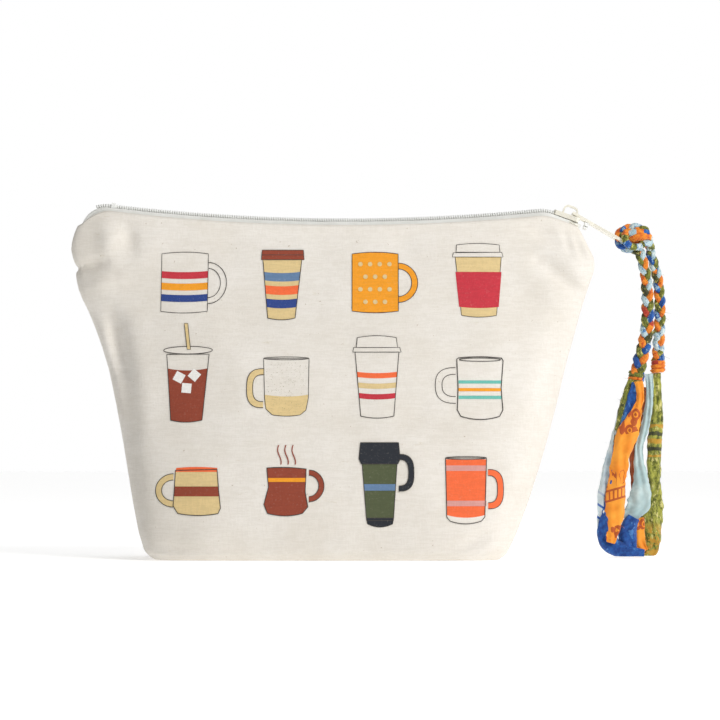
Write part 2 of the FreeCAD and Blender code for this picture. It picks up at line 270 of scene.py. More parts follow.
def cloth(name, base, dark, pitch=0.7, flecks=0.0, strength=0.35, print_size=0, inks=()):
    """Woven cotton: uneven dye, a weave with painted shade in its hollows, optional dark flecks of seed husk
    and an optional small print.
    """
    n = Nodes(name)
    over = n.weave(pitch, strength)
    uneven = n.noise(9.0 if not print_size else 2.0, 4.0, 0.6)
    colour = n.mix(n.step(uneven, 0.3, 0.75), dark, base)
    for k, extra in enumerate(inks):
        blots = n.noise(print_size * (1 + 0.4 * k), 3.0, 0.65, (1, 1 + k, 0.6 + 0.3 * k))
        colour = n.mix(n.step(blots, 0.56, 0.6, 0.0, 0.9), colour, extra)
    # Painted shade: the weave's hollows between the yarns are darkened towards a darker copy of the dye.
    colour = n.tint(colour, n.step(over, 0.0, 0.35, 1.0, 0.0), 0.16, [v * 0.72 for v in dark])
    if flecks:
        spots = n.noise(1.3, 2.0, 0.5, (1, 1, 0.7))
        colour = n.tint(colour, n.step(spots, 0.735, 0.78), flecks, srgb(150, 120, 80))
        spots = n.noise(3.1, 5.0, 0.75, (1, 1, 0.25))
        colour = n.tint(colour, n.step(spots, 0.64, 0.72), flecks * 0.35, srgb(196, 182, 150))
    n.finish(colour, 0.85, 0.15)


def make_materials():
    n = Nodes("floor")
    n.finish(n.mix(n.noise(60.0), (0.93, 0.93, 0.93), (0.95, 0.95, 0.945)), 0.9)
    n.shader.inputs["Emission Color"].default_value = (1, 1, 1, 1)
    n.shader.inputs["Emission Strength"].default_value = 0.36
    n = Nodes("canvas")
    yarns = n.canvas()
    colour = n.mix(n.step(n.noise(24.0, 4.0, 0.55), 0.3, 0.72), srgb(231, 225, 215), srgb(237, 232, 224))
    # Painted shade: the canvas is darkened in the low parts of the yarn relief.
    colour = n.tint(colour, n.step(yarns, 2.3, 1.8), 0.16, srgb(196, 187, 170))
    colour = n.tint(colour, n.step(n.noise(1.3, 2.0), 0.735, 0.78), 0.55, srgb(150, 120, 80))
    pale_flecks = n.step(n.noise(3.1, 5.0, 0.75, (0.3, 0.3, 1)), 0.64, 0.72)
    colour = n.tint(colour, pale_flecks, 0.3, srgb(196, 182, 150))
    n.finish(colour, 0.88, 0.1)
    cloth("lining", srgb(236, 231, 220), srgb(222, 216, 204), 0.5)
    cloth("tape", srgb(243, 243, 238), srgb(230, 230, 224), 0.45, strength=0.4)
    n = Nodes("coil")
    gloss = n.step(n.noise(2.0), 0.3, 0.7, 0.32, 0.45)
    n.finish(n.mix(n.noise(1.5), srgb(238, 239, 236), srgb(250, 250, 248)), gloss)
    n = Nodes("enamel")
    worn = n.step(n.noise(1.6, 6.0, 0.7), 0.62, 0.74)
    n.bump(n.noise(0.9, 3.0), 0.12, 0.05)
    n.finish(n.mix(worn, srgb(240, 236, 222), srgb(198, 190, 166)), n.step(worn, 0.0, 1.0, 0.28, 0.5))
    cloth("braid_orange", srgb(250, 160, 44), srgb(222, 112, 28), 0.35, print_size=1.9,
          inks=[srgb(196, 78, 26)])
    cloth("braid_olive", srgb(142, 146, 50), srgb(84, 92, 32), 0.35, print_size=1.5,
          inks=[srgb(206, 200, 112), srgb(52, 56, 26)])
    cloth("braid_blue", srgb(36, 108, 190), srgb(20, 62, 136), 0.35, print_size=2.0, inks=[srgb(148, 188, 212)])
    cloth("braid_pale", srgb(200, 220, 224), srgb(160, 190, 200), 0.35, print_size=2.4,
          inks=[srgb(226, 232, 226), srgb(60, 120, 180)])
    cloth("braid_red", srgb(208, 74, 44), srgb(160, 46, 34), 0.35, print_size=1.6, inks=[srgb(238, 140, 60)])
    cloth("braid_dark", srgb(86, 88, 40), srgb(48, 50, 28), 0.35, print_size=1.5, inks=[srgb(190, 180, 100)])
    orange_print()
    olive_print()
    striped_pale()
    cloth("strip_blue", srgb(36, 100, 180), srgb(18, 56, 128), 0.4, print_size=3.4, inks=[srgb(74, 132, 196)])
    cloth("strip_rust", srgb(190, 92, 34), srgb(136, 58, 26), 0.4)
    cloth("strip_aqua", srgb(202, 220, 218), srgb(170, 196, 198), 0.4, flecks=0.15)


def orange_print():
    """Orange cotton with loose red-brown rings and sprigs."""
    n = Nodes("strip_orange")
    n.weave(0.4, 0.35)
    base = n.mix(n.step(n.noise(7.0), 0.3, 0.7), srgb(238, 138, 30), srgb(252, 166, 52))
    cells = n.add("TexVoronoi", feature="F1", Scale=1.0)
    n.put(n.scaled(210, 210, 170), cells.inputs["Vector"])
    ring = n.math("COMPARE", cells.outputs["Distance"], 0.36, 0.11)
    core = n.math("LESS_THAN", cells.outputs["Distance"], 0.14)
    split = n.add("SeparateXYZ")
    n.put(n.place, split.inputs[0])
    x = split.outputs[0]
    z = n.math("MULTIPLY_ADD", x, -0.29, n.math("ADD", split.outputs[2], 0.0375))
    blooms = n.math("MAXIMUM", n.math("COMPARE", z, 0.0625, 0.0075), n.math("COMPARE", z, 0.012, 0.0028))
    ink = n.math("MULTIPLY", n.math("MAXIMUM", ring, core), blooms)
    bars = n.math("GREATER_THAN", n.math("SINE", n.math("MULTIPLY", x, 3400.0)), 0.35)
    rungs = n.math("MULTIPLY", bars, n.math("COMPARE", z, 0.0292, 0.0020))
    rails = n.math("MAXIMUM", n.math("COMPARE", z, 0.0315, 0.0005), n.math("COMPARE", z, 0.0269, 0.0005))
    twigs = n.math("COMPARE", n.noise(6.0, 2.0, 0.5, (1.4, 1, 0.5)), 0.5, 0.014)
    twigs = n.math("MULTIPLY", twigs, n.math("COMPARE", z, 0.0375, 0.0045))
    for more in (rungs, rails, twigs):
        ink = n.math("MAXIMUM", ink, more)
    n.finish(n.mix(n.math("MULTIPLY", ink, 0.85), base, srgb(168, 62, 30)), 0.85, 0.15)


def olive_print():
    """Yellow-green cotton, mottled, with dark and ochre bands."""
    n = Nodes("strip_olive")
    n.weave(0.5, 0.6)
    mottled = n.step(n.noise(2.4, 6.0, 0.8, (1.5, 1, 0.6)), 0.4, 0.6)
    colour = n.mix(mottled, srgb(84, 92, 30), srgb(176, 176, 76))
    colour = n.mix(n.step(n.noise(1.6, 4.0, 0.7, (1, 1, 0.35)), 0.56, 0.62), colour, srgb(216, 208, 134))
    colour = n.mix(n.step(n.noise(4.4, 4.0, 0.75), 0.58, 0.66), colour, srgb(64, 72, 26))
    height = n.add("SeparateXYZ")
    n.put(n.place, height.inputs[0])
    z = height.outputs[2]
    uneven = n.math("MULTIPLY_ADD", n.noise(5.0, 2.0), 0.004, z)
    bands = n.math("SINE", n.math("MULTIPLY_ADD", uneven, 860.0, 1.27))
    near = n.math("COMPARE", z, 0.0535, 0.0075)
    dark = n.math("MULTIPLY", n.step(bands, 0.5, 0.85), near)
    ochre = n.math("MULTIPLY", n.step(bands, -0.5, -0.85), near)
    colour = n.tint(colour, dark, 0.85, srgb(44, 46, 38))
    colour = n.tint(colour, ochre, 0.75, srgb(206, 148, 44))
    low = n.math("MULTIPLY", n.step(z, 0.017, 0.011), n.step(n.noise(4.0, 3.0, 0.7), 0.48, 0.54))
    colour = n.tint(colour, low, 0.8, srgb(200, 146, 46))
    n.finish(colour, 0.9, 0.15)


def striped_pale():
    """Pale blue cotton with a few slanting blue stripes."""
    n = Nodes("strip_pale")
    n.weave(0.4, 0.35)
    base = n.mix(n.step(n.noise(6.0), 0.3, 0.7), srgb(178, 198, 208), srgb(216, 226, 228))
    split = n.add("SeparateXYZ")
    n.put(n.place, split.inputs[0])
    slant = n.math("MULTIPLY_ADD", split.outputs[0], 0.7, split.outputs[2])
    stripes = n.step(n.math("SINE", n.math("MULTIPLY", slant, 1050.0)), 0.72, 0.9)
    low = n.step(split.outputs[2], 0.034, 0.022)
    n.finish(n.mix(n.math("MULTIPLY", stripes, low), base, srgb(34, 92, 172)), 0.85, 0.15)


# ---- the pouch's surface -----------------------------------------------------------------------
# Height, left edge, right edge, half depth and squareness of the section.
STATIONS = np.array([
    (0.0, -80.5, 75.6, 35.5, 6.0),
    (4.0, -85.0, 79.6, 38.2, 6.0),
    (25.0, -90.4, 88.5, 38.0, 5.0),
    (55.0, -96.0, 98.2, 33.0, 3.8),
    (86.0, -102.6, 106.2, 26.0, 3.1),
    (105.0, -109.0, 111.2, 20.5, 2.9),
    (122.0, -116.2, 116.4, 15.5, 3.0),
    (138.0, -119.4, 119.2, 11.2, 3.4),
    (150.0, -117.6, 115.2, 9.0, 4.0),
    (168.0, -108.0, 104.0, 8.2, 5.0),
])


# The side seams as height and X, with the tucks beside the zipper's ends.
LEFT_SEAM = [(0, -80.5), (1, -82.2), (2, -83.4), (4, -85), (12, -87.6), (25, -90.4), (40, -93.2), (55, -96),
             (70, -99), (86, -102.6), (96, -105.7), (105, -109), (108.9, -110.6), (113.5, -112.6),
             (118, -114.9),
             (122.7, -116.8), (127, -117.8), (130.5, -118.2), (132.4, -116.4), (134.2, -118.4), (137.5, -119.6),
             (141.1, -120.4), (145, -120), (149, -118.8), (154.1, -116.6), (158, -113.6), (168, -106)]
RIGHT_SEAM = [(0, 75.6), (1, 77.2), (2, 78.3), (4, 79.6), (12, 83.4), (25, 88.5), (40, 93.6), (55, 98.2),
              (70, 102.3), (86, 106.2), (101.4, 110.6), (112.5, 113.6), (118, 115.4), (123.6, 117.2),
              (129.1, 119.2), (132, 120.2), (137.4, 120), (140.2, 118.6), (142.9, 117.2), (148.5, 114.4),
              (156, 110.5), (168, 104)]


def softened(table, reach):
    """A seam sampled every 0.5 mm of height, with its corners rounded over `reach` mm."""
    heights = np.arange(0, 168.5, 0.5)
    fine = np.interp(heights, *zip(*table))
    count = int(reach / 0.5)
    padded = np.concatenate([[fine[0]] * count, fine, [fine[-1]] * count])
    kernel = np.hanning(2 * count + 1)
    smooth = np.convolve(padded, kernel / kernel.sum(), mode="valid")
    ends = np.minimum(heights / 4, 1)
    return heights, smooth * ends + fine * (1 - ends)


SEAMS = [softened(LEFT_SEAM, 1.5), softened(RIGHT_SEAM, 2.5)]


def station(z):
    """Left, right, half depth and squareness at one height, by a smooth curve."""
    heights = STATIONS[:, 0]
    z = min(max(z, 0.0), 168.0)
    k = min(int(np.searchsorted(heights, z, side="right")) - 1, len(heights) - 2)
    h = heights[k + 1] - heights[k]
    t = (z - heights[k]) / h

    def slope(i):
        i = min(max(i, 1), len(heights) - 2)
        return (STATIONS[i + 1, 1:] - STATIONS[i - 1, 1:]) / (heights[i + 1] - heights[i - 1])

    p0, p1 = STATIONS[k, 1:], STATIONS[k + 1, 1:]
    m0, m1 = slope(k) * h, slope(k + 1) * h
    if k == 0:
        m0 = (p1 - p0) * 1.4
    t2, t3 = t * t, t * t * t
    made = (2 * t3 - 3 * t2 + 1) * p0 + (t3 - 2 * t2 + t) * m0 + (-2 * t3 + 3 * t2) * p1 + (t3 - t2) * m1
    made[0], made[1] = (np.interp(z, *seam) for seam in SEAMS)
    return made


# The closed zipper's line: a wide sag between two curls, with a straight lead and tail.
SAG_X, SAG_TOP, SAG_R = 6.0, 1054.7, 900.0
LEFT_X, LEFT_R, LEFT_STEEP = -103.0, 12.0, 66.0
RIGHT_X, RIGHT_R, RIGHT_STEEP = 94.0, 17.0, 20.0
LEFT_SLOPE = math.degrees(math.asin((LEFT_X - SAG_X) / SAG_R))
RIGHT_SLOPE = math.degrees(math.asin((RIGHT_X - SAG_X) / SAG_R))


def hump(centre, radius, slope):
    a = math.radians(slope)
    return (centre[0] - radius * math.sin(a), centre[1] + radius * math.cos(a))


def curl_centre(x, slope, radius):
    z = SAG_TOP - math.sqrt(SAG_R ** 2 - (x - SAG_X) ** 2)
    start = hump((0, 0), radius, slope)
    return (x - start[0], z - start[1])


LEFT_CURL = curl_centre(LEFT_X, LEFT_SLOPE, LEFT_R)
RIGHT_CURL = curl_centre(RIGHT_X, RIGHT_SLOPE, RIGHT_R)
# Lengths of the chain's runs: straight lead, left curl, sag, right curl, straight tail.
RUNS = [4.0, math.radians(LEFT_STEEP - LEFT_SLOPE) * LEFT_R, math.radians(RIGHT_SLOPE - LEFT_SLOPE) * SAG_R,
        math.radians(RIGHT_SLOPE + RIGHT_STEEP) * RIGHT_R, 13.6]


def chain(d, lift=0.0):
    """A point of the chain's line, `d` mm from its left end, with its normal."""
    lead, left, middle, right = RUNS[:4]
    d -= lead
    if d < left:
        slope = LEFT_STEEP - math.degrees(max(d, 0.0) / LEFT_R)
        x, z = hump(LEFT_CURL, LEFT_R + lift, slope)
        x += min(d, 0.0) * math.cos(math.radians(slope))
        z += min(d, 0.0) * math.sin(math.radians(slope))
    elif d < left + middle:
        slope = LEFT_SLOPE + math.degrees((d - left) / SAG_R)
        a = math.radians(slope)
        x, z = SAG_X + (SAG_R - lift) * math.sin(a), SAG_TOP - (SAG_R - lift) * math.cos(a)
    else:
        slope = max(RIGHT_SLOPE - math.degrees((d - left - middle) / RIGHT_R), -RIGHT_STEEP)
        x, z = hump(RIGHT_CURL, RIGHT_R + lift, slope)
        extra = max(0.0, d - left - middle - right)
        x += extra * math.cos(math.radians(RIGHT_STEEP))
        z -= extra * math.sin(math.radians(RIGHT_STEEP))
    a = math.radians(slope)
    return Vector((x, 0, z)), Vector((-math.sin(a), 0, math.cos(a)))


def chain_table(lift):
    """The chain's line as heights over X, drawn on for 30 mm past each end."""
    points = [chain(RUNS[0] + (sum(RUNS) - RUNS[0]) * k / 600, lift)[0] for k in range(601)]
    first, last = points[0], points[-1]
    before = Vector((first.x - 30 * math.cos(math.radians(30)), 0, first.z - 30 * math.sin(math.radians(30))))
    after = Vector((last.x + 30 * math.cos(math.radians(20)), 0, last.z - 30 * math.sin(math.radians(20))))
    points = [before] + points + [after]
    return np.array([p.x for p in points]), np.array([p.z for p in points])


CANVAS_LIFT, LINING_LIFT = -2.8, -5.0     # where the panels meet the tapes, below the chain
RIM = chain_table(CANVAS_LIFT)

# Folds of the canvas: ends in X and Z, half width, height (below 0 is a valley), which panel.
FOLDS = [
    (-117, 132.6, -104, 134.5, 2.2, -2.4, -1), (-104, 151, -102, 137, 5.0, 2.3, -1),
    (-94, 151, -91.5, 140, 3.4, -1.7, -1), (-112, 124, -98, 127, 4.6, 2.0, -1),
    (-112, 115, -100, 106, 4.0, -1.6, -1), (-101, 111, -95.5, 86, 3.6, -4.2, -1),
    (-97, 108, -91, 58, 4.2, -2.2, -1), (-106, 100, -103, 88, 3.4, 0.9, -1),
    (-88, 104, -83, 52, 6.0, 1.1, -1), (-93, 60, -86, 20, 4.0, -1.6, -1),
    (-77, 6, -58, 3, 2.6, -1.8, -1), (-70, 12, -50, 8, 4.0, 0.8, -1),
    (94, 135, 117, 118.5, 3.2, -2.6, -1), (98, 141, 117, 130, 4.4, 1.6, -1),
    (90, 151, 106, 141, 4.2, -1.6, -1), (90, 126, 111, 111, 5.0, 1.2, -1),
    (111, 147, 115, 136, 1.8, -1.0, -1), (106, 149, 109, 139, 1.8, -0.9, -1),
    (104, 106, 92, 55, 5.0, -1.5, -1), (88, 40, 76, 8, 4.2, -1.6, -1),
    (56, 5, 72, 13, 3.0, -1.3, -1), (-50, 150, -44, 138, 6.0, -0.6, -1),
    (30, 150, 36, 136, 7.0, -0.6, -1), (-60, 110, -30, 60, 12.0, 0.7, -1),
    (40, 60, 64, 20, 12.0, -0.7, -1), (0, 100, 20, 52, 11.0, -0.6, -1),
    (-114, 126, -96, 122, 3.0, -2.4, 1), (-96, 110, -88, 60, 5.5, -2.2, 1),
    (112, 138, 94, 118, 3.6, -2.4, 1), (100, 96, 88, 40, 5.0, -2.0, 1),
    (-50, 120, 10, 70, 14.0, -1.4, 1), (-10, 130, 60, 84, 12.0, 1.0, 1),
    (-66, 14, -40, 6, 4.0, -1.5, 1), (44, 8, 66, 18, 4.5, -1.4, 1),
    (-100, 150, -94, 136, 4.0, -1.6, 1), (88, 150, 100, 140, 4.5, -1.4, 1),
]


def relief(x, z, side):
    """How far the cloth stands out from the smooth form, in mm."""
    out = 0.0
    for x0, z0, x1, z1, half, height, panel in FOLDS:
        if panel != side:
            continue
        dx, dz = x1 - x0, z1 - z0
        t = ((x - x0) * dx + (z - z0) * dz) / (dx * dx + dz * dz)
        near = min(max(t, 0.0), 1.0)
        away = math.hypot(x - x0 - near * dx, z - z0 - near * dz) / half
        if away < 3:
            taper = 0.35 + 0.65 * math.sin(math.pi * min(max(near, 0.06), 0.94))
            out += height * taper * math.exp(-away * away)
    p = (x, side * 50.0, z)
    out += 0.8 * wobble(p, 42.0, 1.7) + 0.34 * wobble(p, 16.0, 4.1) + 0.09 * wobble(p, 5.0, 8.3)
    return out


def depth_at(x, z):
    left, right, depth, square = station(z)
    far = abs((x - (left + right) / 2) / ((right - left) / 2))
    return depth * (1 - min(far, 0.99999) ** square) ** (1 / square)


def surface(x, z, side):
    """The cloth's outer surface above x, z: front is side -1."""
    left, right = station(z)[:2]
    edge = min(x - left, right - x)
    calm = min(max(edge / 9.0, 0.0), 1.0) * min(max(z / 7.0, 0.0), 1.0)
    top = float(np.interp(x, *RIM))
    calm *= min(max((top - z) / 6.0, 0.15), 1.0)
    return side * (depth_at(x, z) + relief(x, z, side) * calm)


def section(z, inset, count):
    """Points evenly spaced round one half of the outline at this height, left to right."""
    left, right, depth, square = station(z)
    a = np.linspace(math.pi, 0, 721)
    half, depth = (right - left) / 2 - inset, depth - inset
    c, s = np.cos(a), np.sin(a)
    x = (left + right) / 2 + half * np.sign(c) * np.abs(c) ** (2 / square)
    y = depth * np.abs(s) ** (2 / square)
    run = np.concatenate([[0], np.cumsum(np.hypot(np.diff(x), np.diff(y)))])
    u = np.linspace(0, run[-1], count)
    return np.interp(u, run, x), np.interp(u, run, y)


def panel(name, side, inset, lift, material, across, down, under):
    """One cloth panel: from the zipper down the side and in under the base to its middle."""
    wide_x = section(156.0, inset, across)[0]
    rim = chain_table(lift)
    tops = np.interp(wide_x, *rim)
    columns = []
    levels = [1 - (k / down) for k in range(down + 1)]
    table = [section(k / 2, inset, across) for k in range(338)]
    for c in range(across):
        column = []
        for share in levels:
            z = max(tops[c] * share, 0.0) if share else 0.0
            low = min(int(z * 2), 336)
            share = z * 2 - low
            x = table[low][0][c] * (1 - share) + table[low + 1][0][c] * share
            y = table[low][1][c] * (1 - share) + table[low + 1][1][c] * share
            edge = min(c, across - 1 - c) / 6.0
            calm = min(edge, 1.0) * min(z / 7.0, 1.0) * min(max((tops[c] - z) / 6.0, 0.15), 1.0)
            y += relief(x, z, side) * calm
            column.append(Vector((x, side * y, z + inset * (1 - min(z / 10, 1)))) * MM)
        foot = column[-1]
        for k in range(1, under + 1):
            share = 1 - k / under
            column.append(Vector((foot.x, foot.y * share, foot.z)))
        columns.append(column)
    rows = [[columns[c][r] for c in range(across)] for r in range(len(columns[0]))]
    if side < 0:
        rows = [row[::-1] for row in rows]
    obj = grid_mesh(name, rows, material)
    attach(obj, "pouch")
    return obj


# ---- printed cups ------------------------------------------------------------------------------
INK = {
    "line": (70, 66, 62), "red": (203, 52, 66), "coral": (250, 112, 62), "amber": (248, 162, 34),
    "navy": (44, 70, 140), "brown": (150, 68, 46), "tan": (228, 202, 146),
    "slate": (102, 132, 168), "black": (38, 42, 50), "olive": (84, 92, 62), "pink": (222, 160, 152),
    "white": (247, 245, 240), "teal": (112, 196, 182), "khaki": (150, 142, 104),
}


def ink(name):
    key = "canvas" if name == "bare" else "ink_" + name
    if key not in MATERIALS:
        n = Nodes(key)
        yarns = n.canvas()
        base = srgb(*INK[name])
        # Painted shade: the ink is darkened in the low parts of the yarn relief.
        colour = n.mix(n.math("MULTIPLY", n.step(yarns, 2.3, 1.8), 0.22), base, [v * 0.6 for v in base])
        worn = n.math("MULTIPLY", n.step(n.noise(0.9, 3.0, 0.6), 0.56, 0.8), 0.1)
        n.finish(n.mix(worn, colour, srgb(236, 230, 218)), 0.85)
    return MATERIALS[key]


def divided(a, b, gap):
    """Points from a up to b, no more than about `gap` mm apart."""
    steps = max(1, int(math.dist(a, b) / gap))
    return [(a[0] + (b[0] - a[0]) * k / steps, a[1] + (b[1] - a[1]) * k / steps) for k in range(steps)]


class Print:
    """Flat shapes in X and Z laid on the front panel as thin layers of ink."""

    def __init__(self, name, x, z, width, height):
        self.name, self.x, self.z, self.w, self.h = name, x, z, width, height
        self.verts, self.faces, self.slots, self.inks = [], [], [], []
        self.layer = 0

    def at(self, u, v):
        """From the cup's own square, 0 to 1 each way, to X and Z in mm."""
        return (self.x + u * self.w, self.z + v * self.h)

    def slot(self, name):
        if name not in self.inks:
            self.inks.append(name)
        return self.inks.index(name)

    def lay(self, x, z):
        lift = 0.10 + 0.035 * self.layer
        return Vector((x, surface(x, z, -1) - lift, z)) * MM

    def fill(self, name, points):
        """Fill an outline."""
        points = [self.at(*p) for p in points]
        outline = []
        for a, b in zip(points, points[1:] + points[:1]):
            outline += divided(a, b, 1.6)
        xs, zs = [p[0] for p in outline], [p[1] for p in outline]
        inner = []
        for x in np.arange(min(xs) + 0.9, max(xs), 1.8):
            for z in np.arange(min(zs) + 0.9, max(zs), 1.8):
                inner.append((float(x), float(z)))
        count = len(outline)
        edges = [(k, (k + 1) % count) for k in range(count)]
        flat = [Vector(p) for p in outline + inner]
        made = geometry.delaunay_2d_cdt(flat, edges, [list(range(count))], 1, 1e-5)
        base = len(self.verts)
        self.verts += [self.lay(*p) for p in made[0]]
        for face in made[2]:
            a, b, c = (made[0][k] for k in face[:3])
            turn = (b - a).cross(c - a)
            self.faces.append([base + k for k in (face if turn > 0 else reversed(face))])
            self.slots.append(self.slot(name))
        self.layer += 1

    def line(self, points, width=0.32, name="line", closed=False, grow=True):
        """Draw a line whose width varies a little, as if by hand."""
        points = [self.at(*p) for p in points]
        if closed:
            points = points + points[:1]
        dense = []
        for a, b in zip(points, points[1:]):
            dense += divided(a, b, 1.2)
        dense.append(points[-1])
        base = len(self.verts)
        last = len(dense) - 1
        for k, p in enumerate(dense):
            before = dense[k - 1] if k else (dense[last - 1] if closed else p)
            after = dense[k + 1] if k < last else (dense[1] if closed else p)
            dx, dz = after[0] - before[0], after[1] - before[1]
            size = math.hypot(dx, dz) or 1.0
            half = width / 2 * (1 + 0.18 * wobble((p[0], 0, p[1]), 3.0, 2.0))
            nx, nz = -dz / size * half, dx / size * half
            self.verts += [self.lay(p[0] + nx, p[1] + nz), self.lay(p[0] - nx, p[1] - nz)]
        for k in range(last):
            a = base + 2 * k
            self.faces.append([a, a + 1, a + 3, a + 2])
            self.slots.append(self.slot(name))
        if grow:
            self.layer += 1

    def outlined(self, name, points, width=0.32):
        self.fill(name, points)
        self.line(points, width, closed=True)

    def make(self):
        obj = new_mesh(self.name, self.verts, self.faces, [ink(name) for name in self.inks], self.slots)
        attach(obj, "pouch")


def bow(u0, v0, u1, v1, rise, steps=12):
    """A shallow arc from one point to another."""
    points = []
    for k in range(steps + 1):
        t = k / steps
        points.append((u0 + (u1 - u0) * t, v0 + (v1 - v0) * t + rise * 4 * t * (1 - t)))
    return points


def ring(u, v, ru, rv, start=0, end=360, steps=28):
    points = []
    for k in range(steps + 1):
        a = math.radians(start + (end - start) * k / steps)
        points.append((u + ru * math.cos(a), v + rv * math.sin(a)))
    return points[:-1] if abs(end - start) == 360 else points


def barrel(top=1.0, bottom=1.0, rise=0.03, sink=-0.03, low=0.0, high=1.0):
    """The outline of a cup's body between two heights, straight sided, with bowed ends."""
    def half(v):
        return (bottom + (top - bottom) * v) / 2

    upper = bow(0.5 + half(high), high, 0.5 - half(high), high, rise)
    lower = bow(0.5 - half(low), low, 0.5 + half(low), low, sink)
    return upper + lower


def handle(p, side, v0, v1, reach, thick, colour=None, square=2.0):
    """A C-shaped handle, as a band between two arcs."""
    middle, rise = (v0 + v1) / 2, (v1 - v0) / 2
    edge = 1.0 if side > 0 else 0.0

    def arc(ru, rv):
        points = []
        for k in range(19):
            a = math.radians(-90 + 10 * k)
            c, s = math.cos(a), math.sin(a)
            points.append((edge + side * ru * abs(c) ** (2 / square),
                           middle + rv * math.copysign(abs(s) ** (2 / square), s)))
        return points

    outer, inner = arc(reach, rise), arc(reach - thick, rise - thick * p.w / p.h)
    if colour:
        p.fill(colour, outer + inner[::-1])
    p.line(outer, grow=False)
    p.line(inner)


def hoop(p, colour, low, high, foot=(0.0, 1.0), sag=-0.02):
    """A plain band round a cup. foot gives the two sides of the cup's base."""
    def sides(v):
        return foot[0] * (1 - v), foot[1] + (1 - foot[1]) * v

    (left, right), (low_left, low_right) = sides(high), sides(low)
    p.fill(colour, bow(low_left, low, low_right, low, sag) + bow(right, high, left, high, sag))


def dots(p, colour, rows, columns, size=0.05):
    """Dots in staggered rows."""
    for j, v in enumerate(rows):
        for u in columns[j % 2:]:
            p.fill(colour, ring(u - 0.1 * (j % 2), v, size, size * p.w / p.h, steps=14))
            p.layer -= 1
    p.layer += 1


def banded_mug(p):
    for k, colour in enumerate(("red", "amber", "navy")):
        hoop(p, colour, 0.58 - 0.2 * k, 0.7 - 0.2 * k)
    p.line(barrel(), 0.26, closed=True)
    handle(p, 1, 0.13, 0.85, 0.4, 0.13)


def tumbler(p):
    body = [(0.0, 1.0), (0.14, 0.04)] + bow(0.14, 0.04, 0.84, 0.04, -0.03) + [(1.0, 1.0)]
    p.fill("tan", body)
    for colour, v in (("slate", 0.66), ("coral", 0.44), ("navy", 0.22)):
        hoop(p, colour, v, v + 0.14, (0.14, 0.84))
    p.line(body, 0.32, closed=True)
    p.outlined("brown", [(-0.04, 1.0), (-0.02, 1.16), (1.04, 1.16), (1.06, 1.0)], 0.28)
    p.line([(-0.03, 1.08), (1.05, 1.08)], 0.24)


def dotted_mug(p):
    p.fill("amber", barrel())
    handle(p, 1, 0.15, 0.84, 0.42, 0.13, "amber")
    p.line(barrel(), 0.3, closed=True)
    dots(p, "tan", (0.82, 0.6, 0.38, 0.16), (0.18, 0.39, 0.6, 0.81))


def sleeve_cup(p):
    body = [(0.0, 1.0), (0.12, 0.03)] + bow(0.12, 0.03, 0.87, 0.03, -0.03) + [(0.99, 1.0)]
    p.fill("tan", body)
    p.line(body, 0.28, closed=True)
    p.fill("red", [(0.0, 0.75), (0.07, 0.17)] + bow(0.07, 0.17, 0.92, 0.17, -0.02) + [(0.99, 0.75)])
    p.outlined("bare", [(-0.06, 1.0), (-0.04, 1.07), (1.0, 1.08), (1.03, 1.0)], 0.28)
    p.outlined("bare", [(0.02, 1.08), (0.03, 1.2)] + bow(0.03, 1.2, 0.95, 1.2, 0.025) + [(0.96, 1.08)], 0.28)


def iced_cup(p):
    foot = bow(0.12, 0.03, 0.86, 0.03, -0.03)
    body = [(0.0, 1.0), (0.12, 0.03)] + foot + [(1.0, 1.0)]
    p.fill("brown", [(0.03, 0.79), (0.12, 0.03)] + foot + bow(0.97, 0.79, 0.03, 0.79, -0.03))
    for u, v, turn in ((0.3, 0.66, 0.3), (0.66, 0.69, 0.1), (0.48, 0.5, 0.7)):
        angles = [turn + k * math.pi / 2 for k in range(4)]
        p.fill("white", [(u + 0.16 * math.cos(a), v + 0.1 * math.sin(a)) for a in angles])
    p.line(body, 0.3, closed=True)
    p.outlined("bare", ring(0.5, 1.06, 0.58, 0.055), 0.34)
    p.outlined("tan", [(0.4, 1.46), (0.48, 1.46), (0.56, 1.07), (0.48, 1.07)], 0.26)


def speckled_mug(p):
    foot = [(0.06, 0.12), (0.2, 0.02)] + bow(0.2, 0.02, 0.8, 0.02, -0.02)
    body = [(0.0, 0.97), (0.03, 0.3)] + foot + [(0.92, 0.1), (0.97, 0.3), (0.98, 0.97)]
    p.fill("bare", body)
    p.fill("tan", [(0.03, 0.36), (0.03, 0.2)] + foot + [(0.92, 0.1), (0.97, 0.36)]
           + bow(0.97, 0.36, 0.03, 0.36, -0.03))
    p.line(body, 0.28, closed=True)
    p.line(ring(0.49, 0.975, 0.49, 0.025), 0.26, closed=True)
    handle(p, -1, 0.14, 0.8, 0.36, 0.13, "tan", 2.8)
    rng = np.random.default_rng(7)
    for _ in range(210):
        u, v = rng.uniform(0.06, 0.93), rng.uniform(0.06, 0.9)
        x, z = p.at(u, v)
        r = rng.uniform(0.07, 0.15)
        base = len(p.verts)
        p.verts += [p.lay(x + r * math.cos(a), z + r * math.sin(a)) for a in (0, 1.57, 3.14, 4.71)]
        p.faces.append([base, base + 1, base + 2, base + 3])
        p.slots.append(p.slot("khaki"))


def striped_cup(p):
    body = [(0.0, 1.0), (0.13, 0.03)] + bow(0.13, 0.03, 0.88, 0.03, -0.03) + [(1.0, 1.0)]
    p.fill("bare", body)
    for colour, v in (("coral", 0.62), ("tan", 0.46), ("red", 0.3)):
        hoop(p, colour, v, v + 0.08, (0.13, 0.88))
    p.line(body, 0.32, closed=True)
    p.outlined("bare", [(-0.05, 1.0), (-0.03, 1.07), (1.02, 1.07), (1.05, 1.0)], 0.3)
    p.outlined("bare", [(0.03, 1.07), (0.05, 1.22)] + bow(0.05, 1.22, 0.94, 1.22, 0.03) + [(0.97, 1.07)], 0.3)


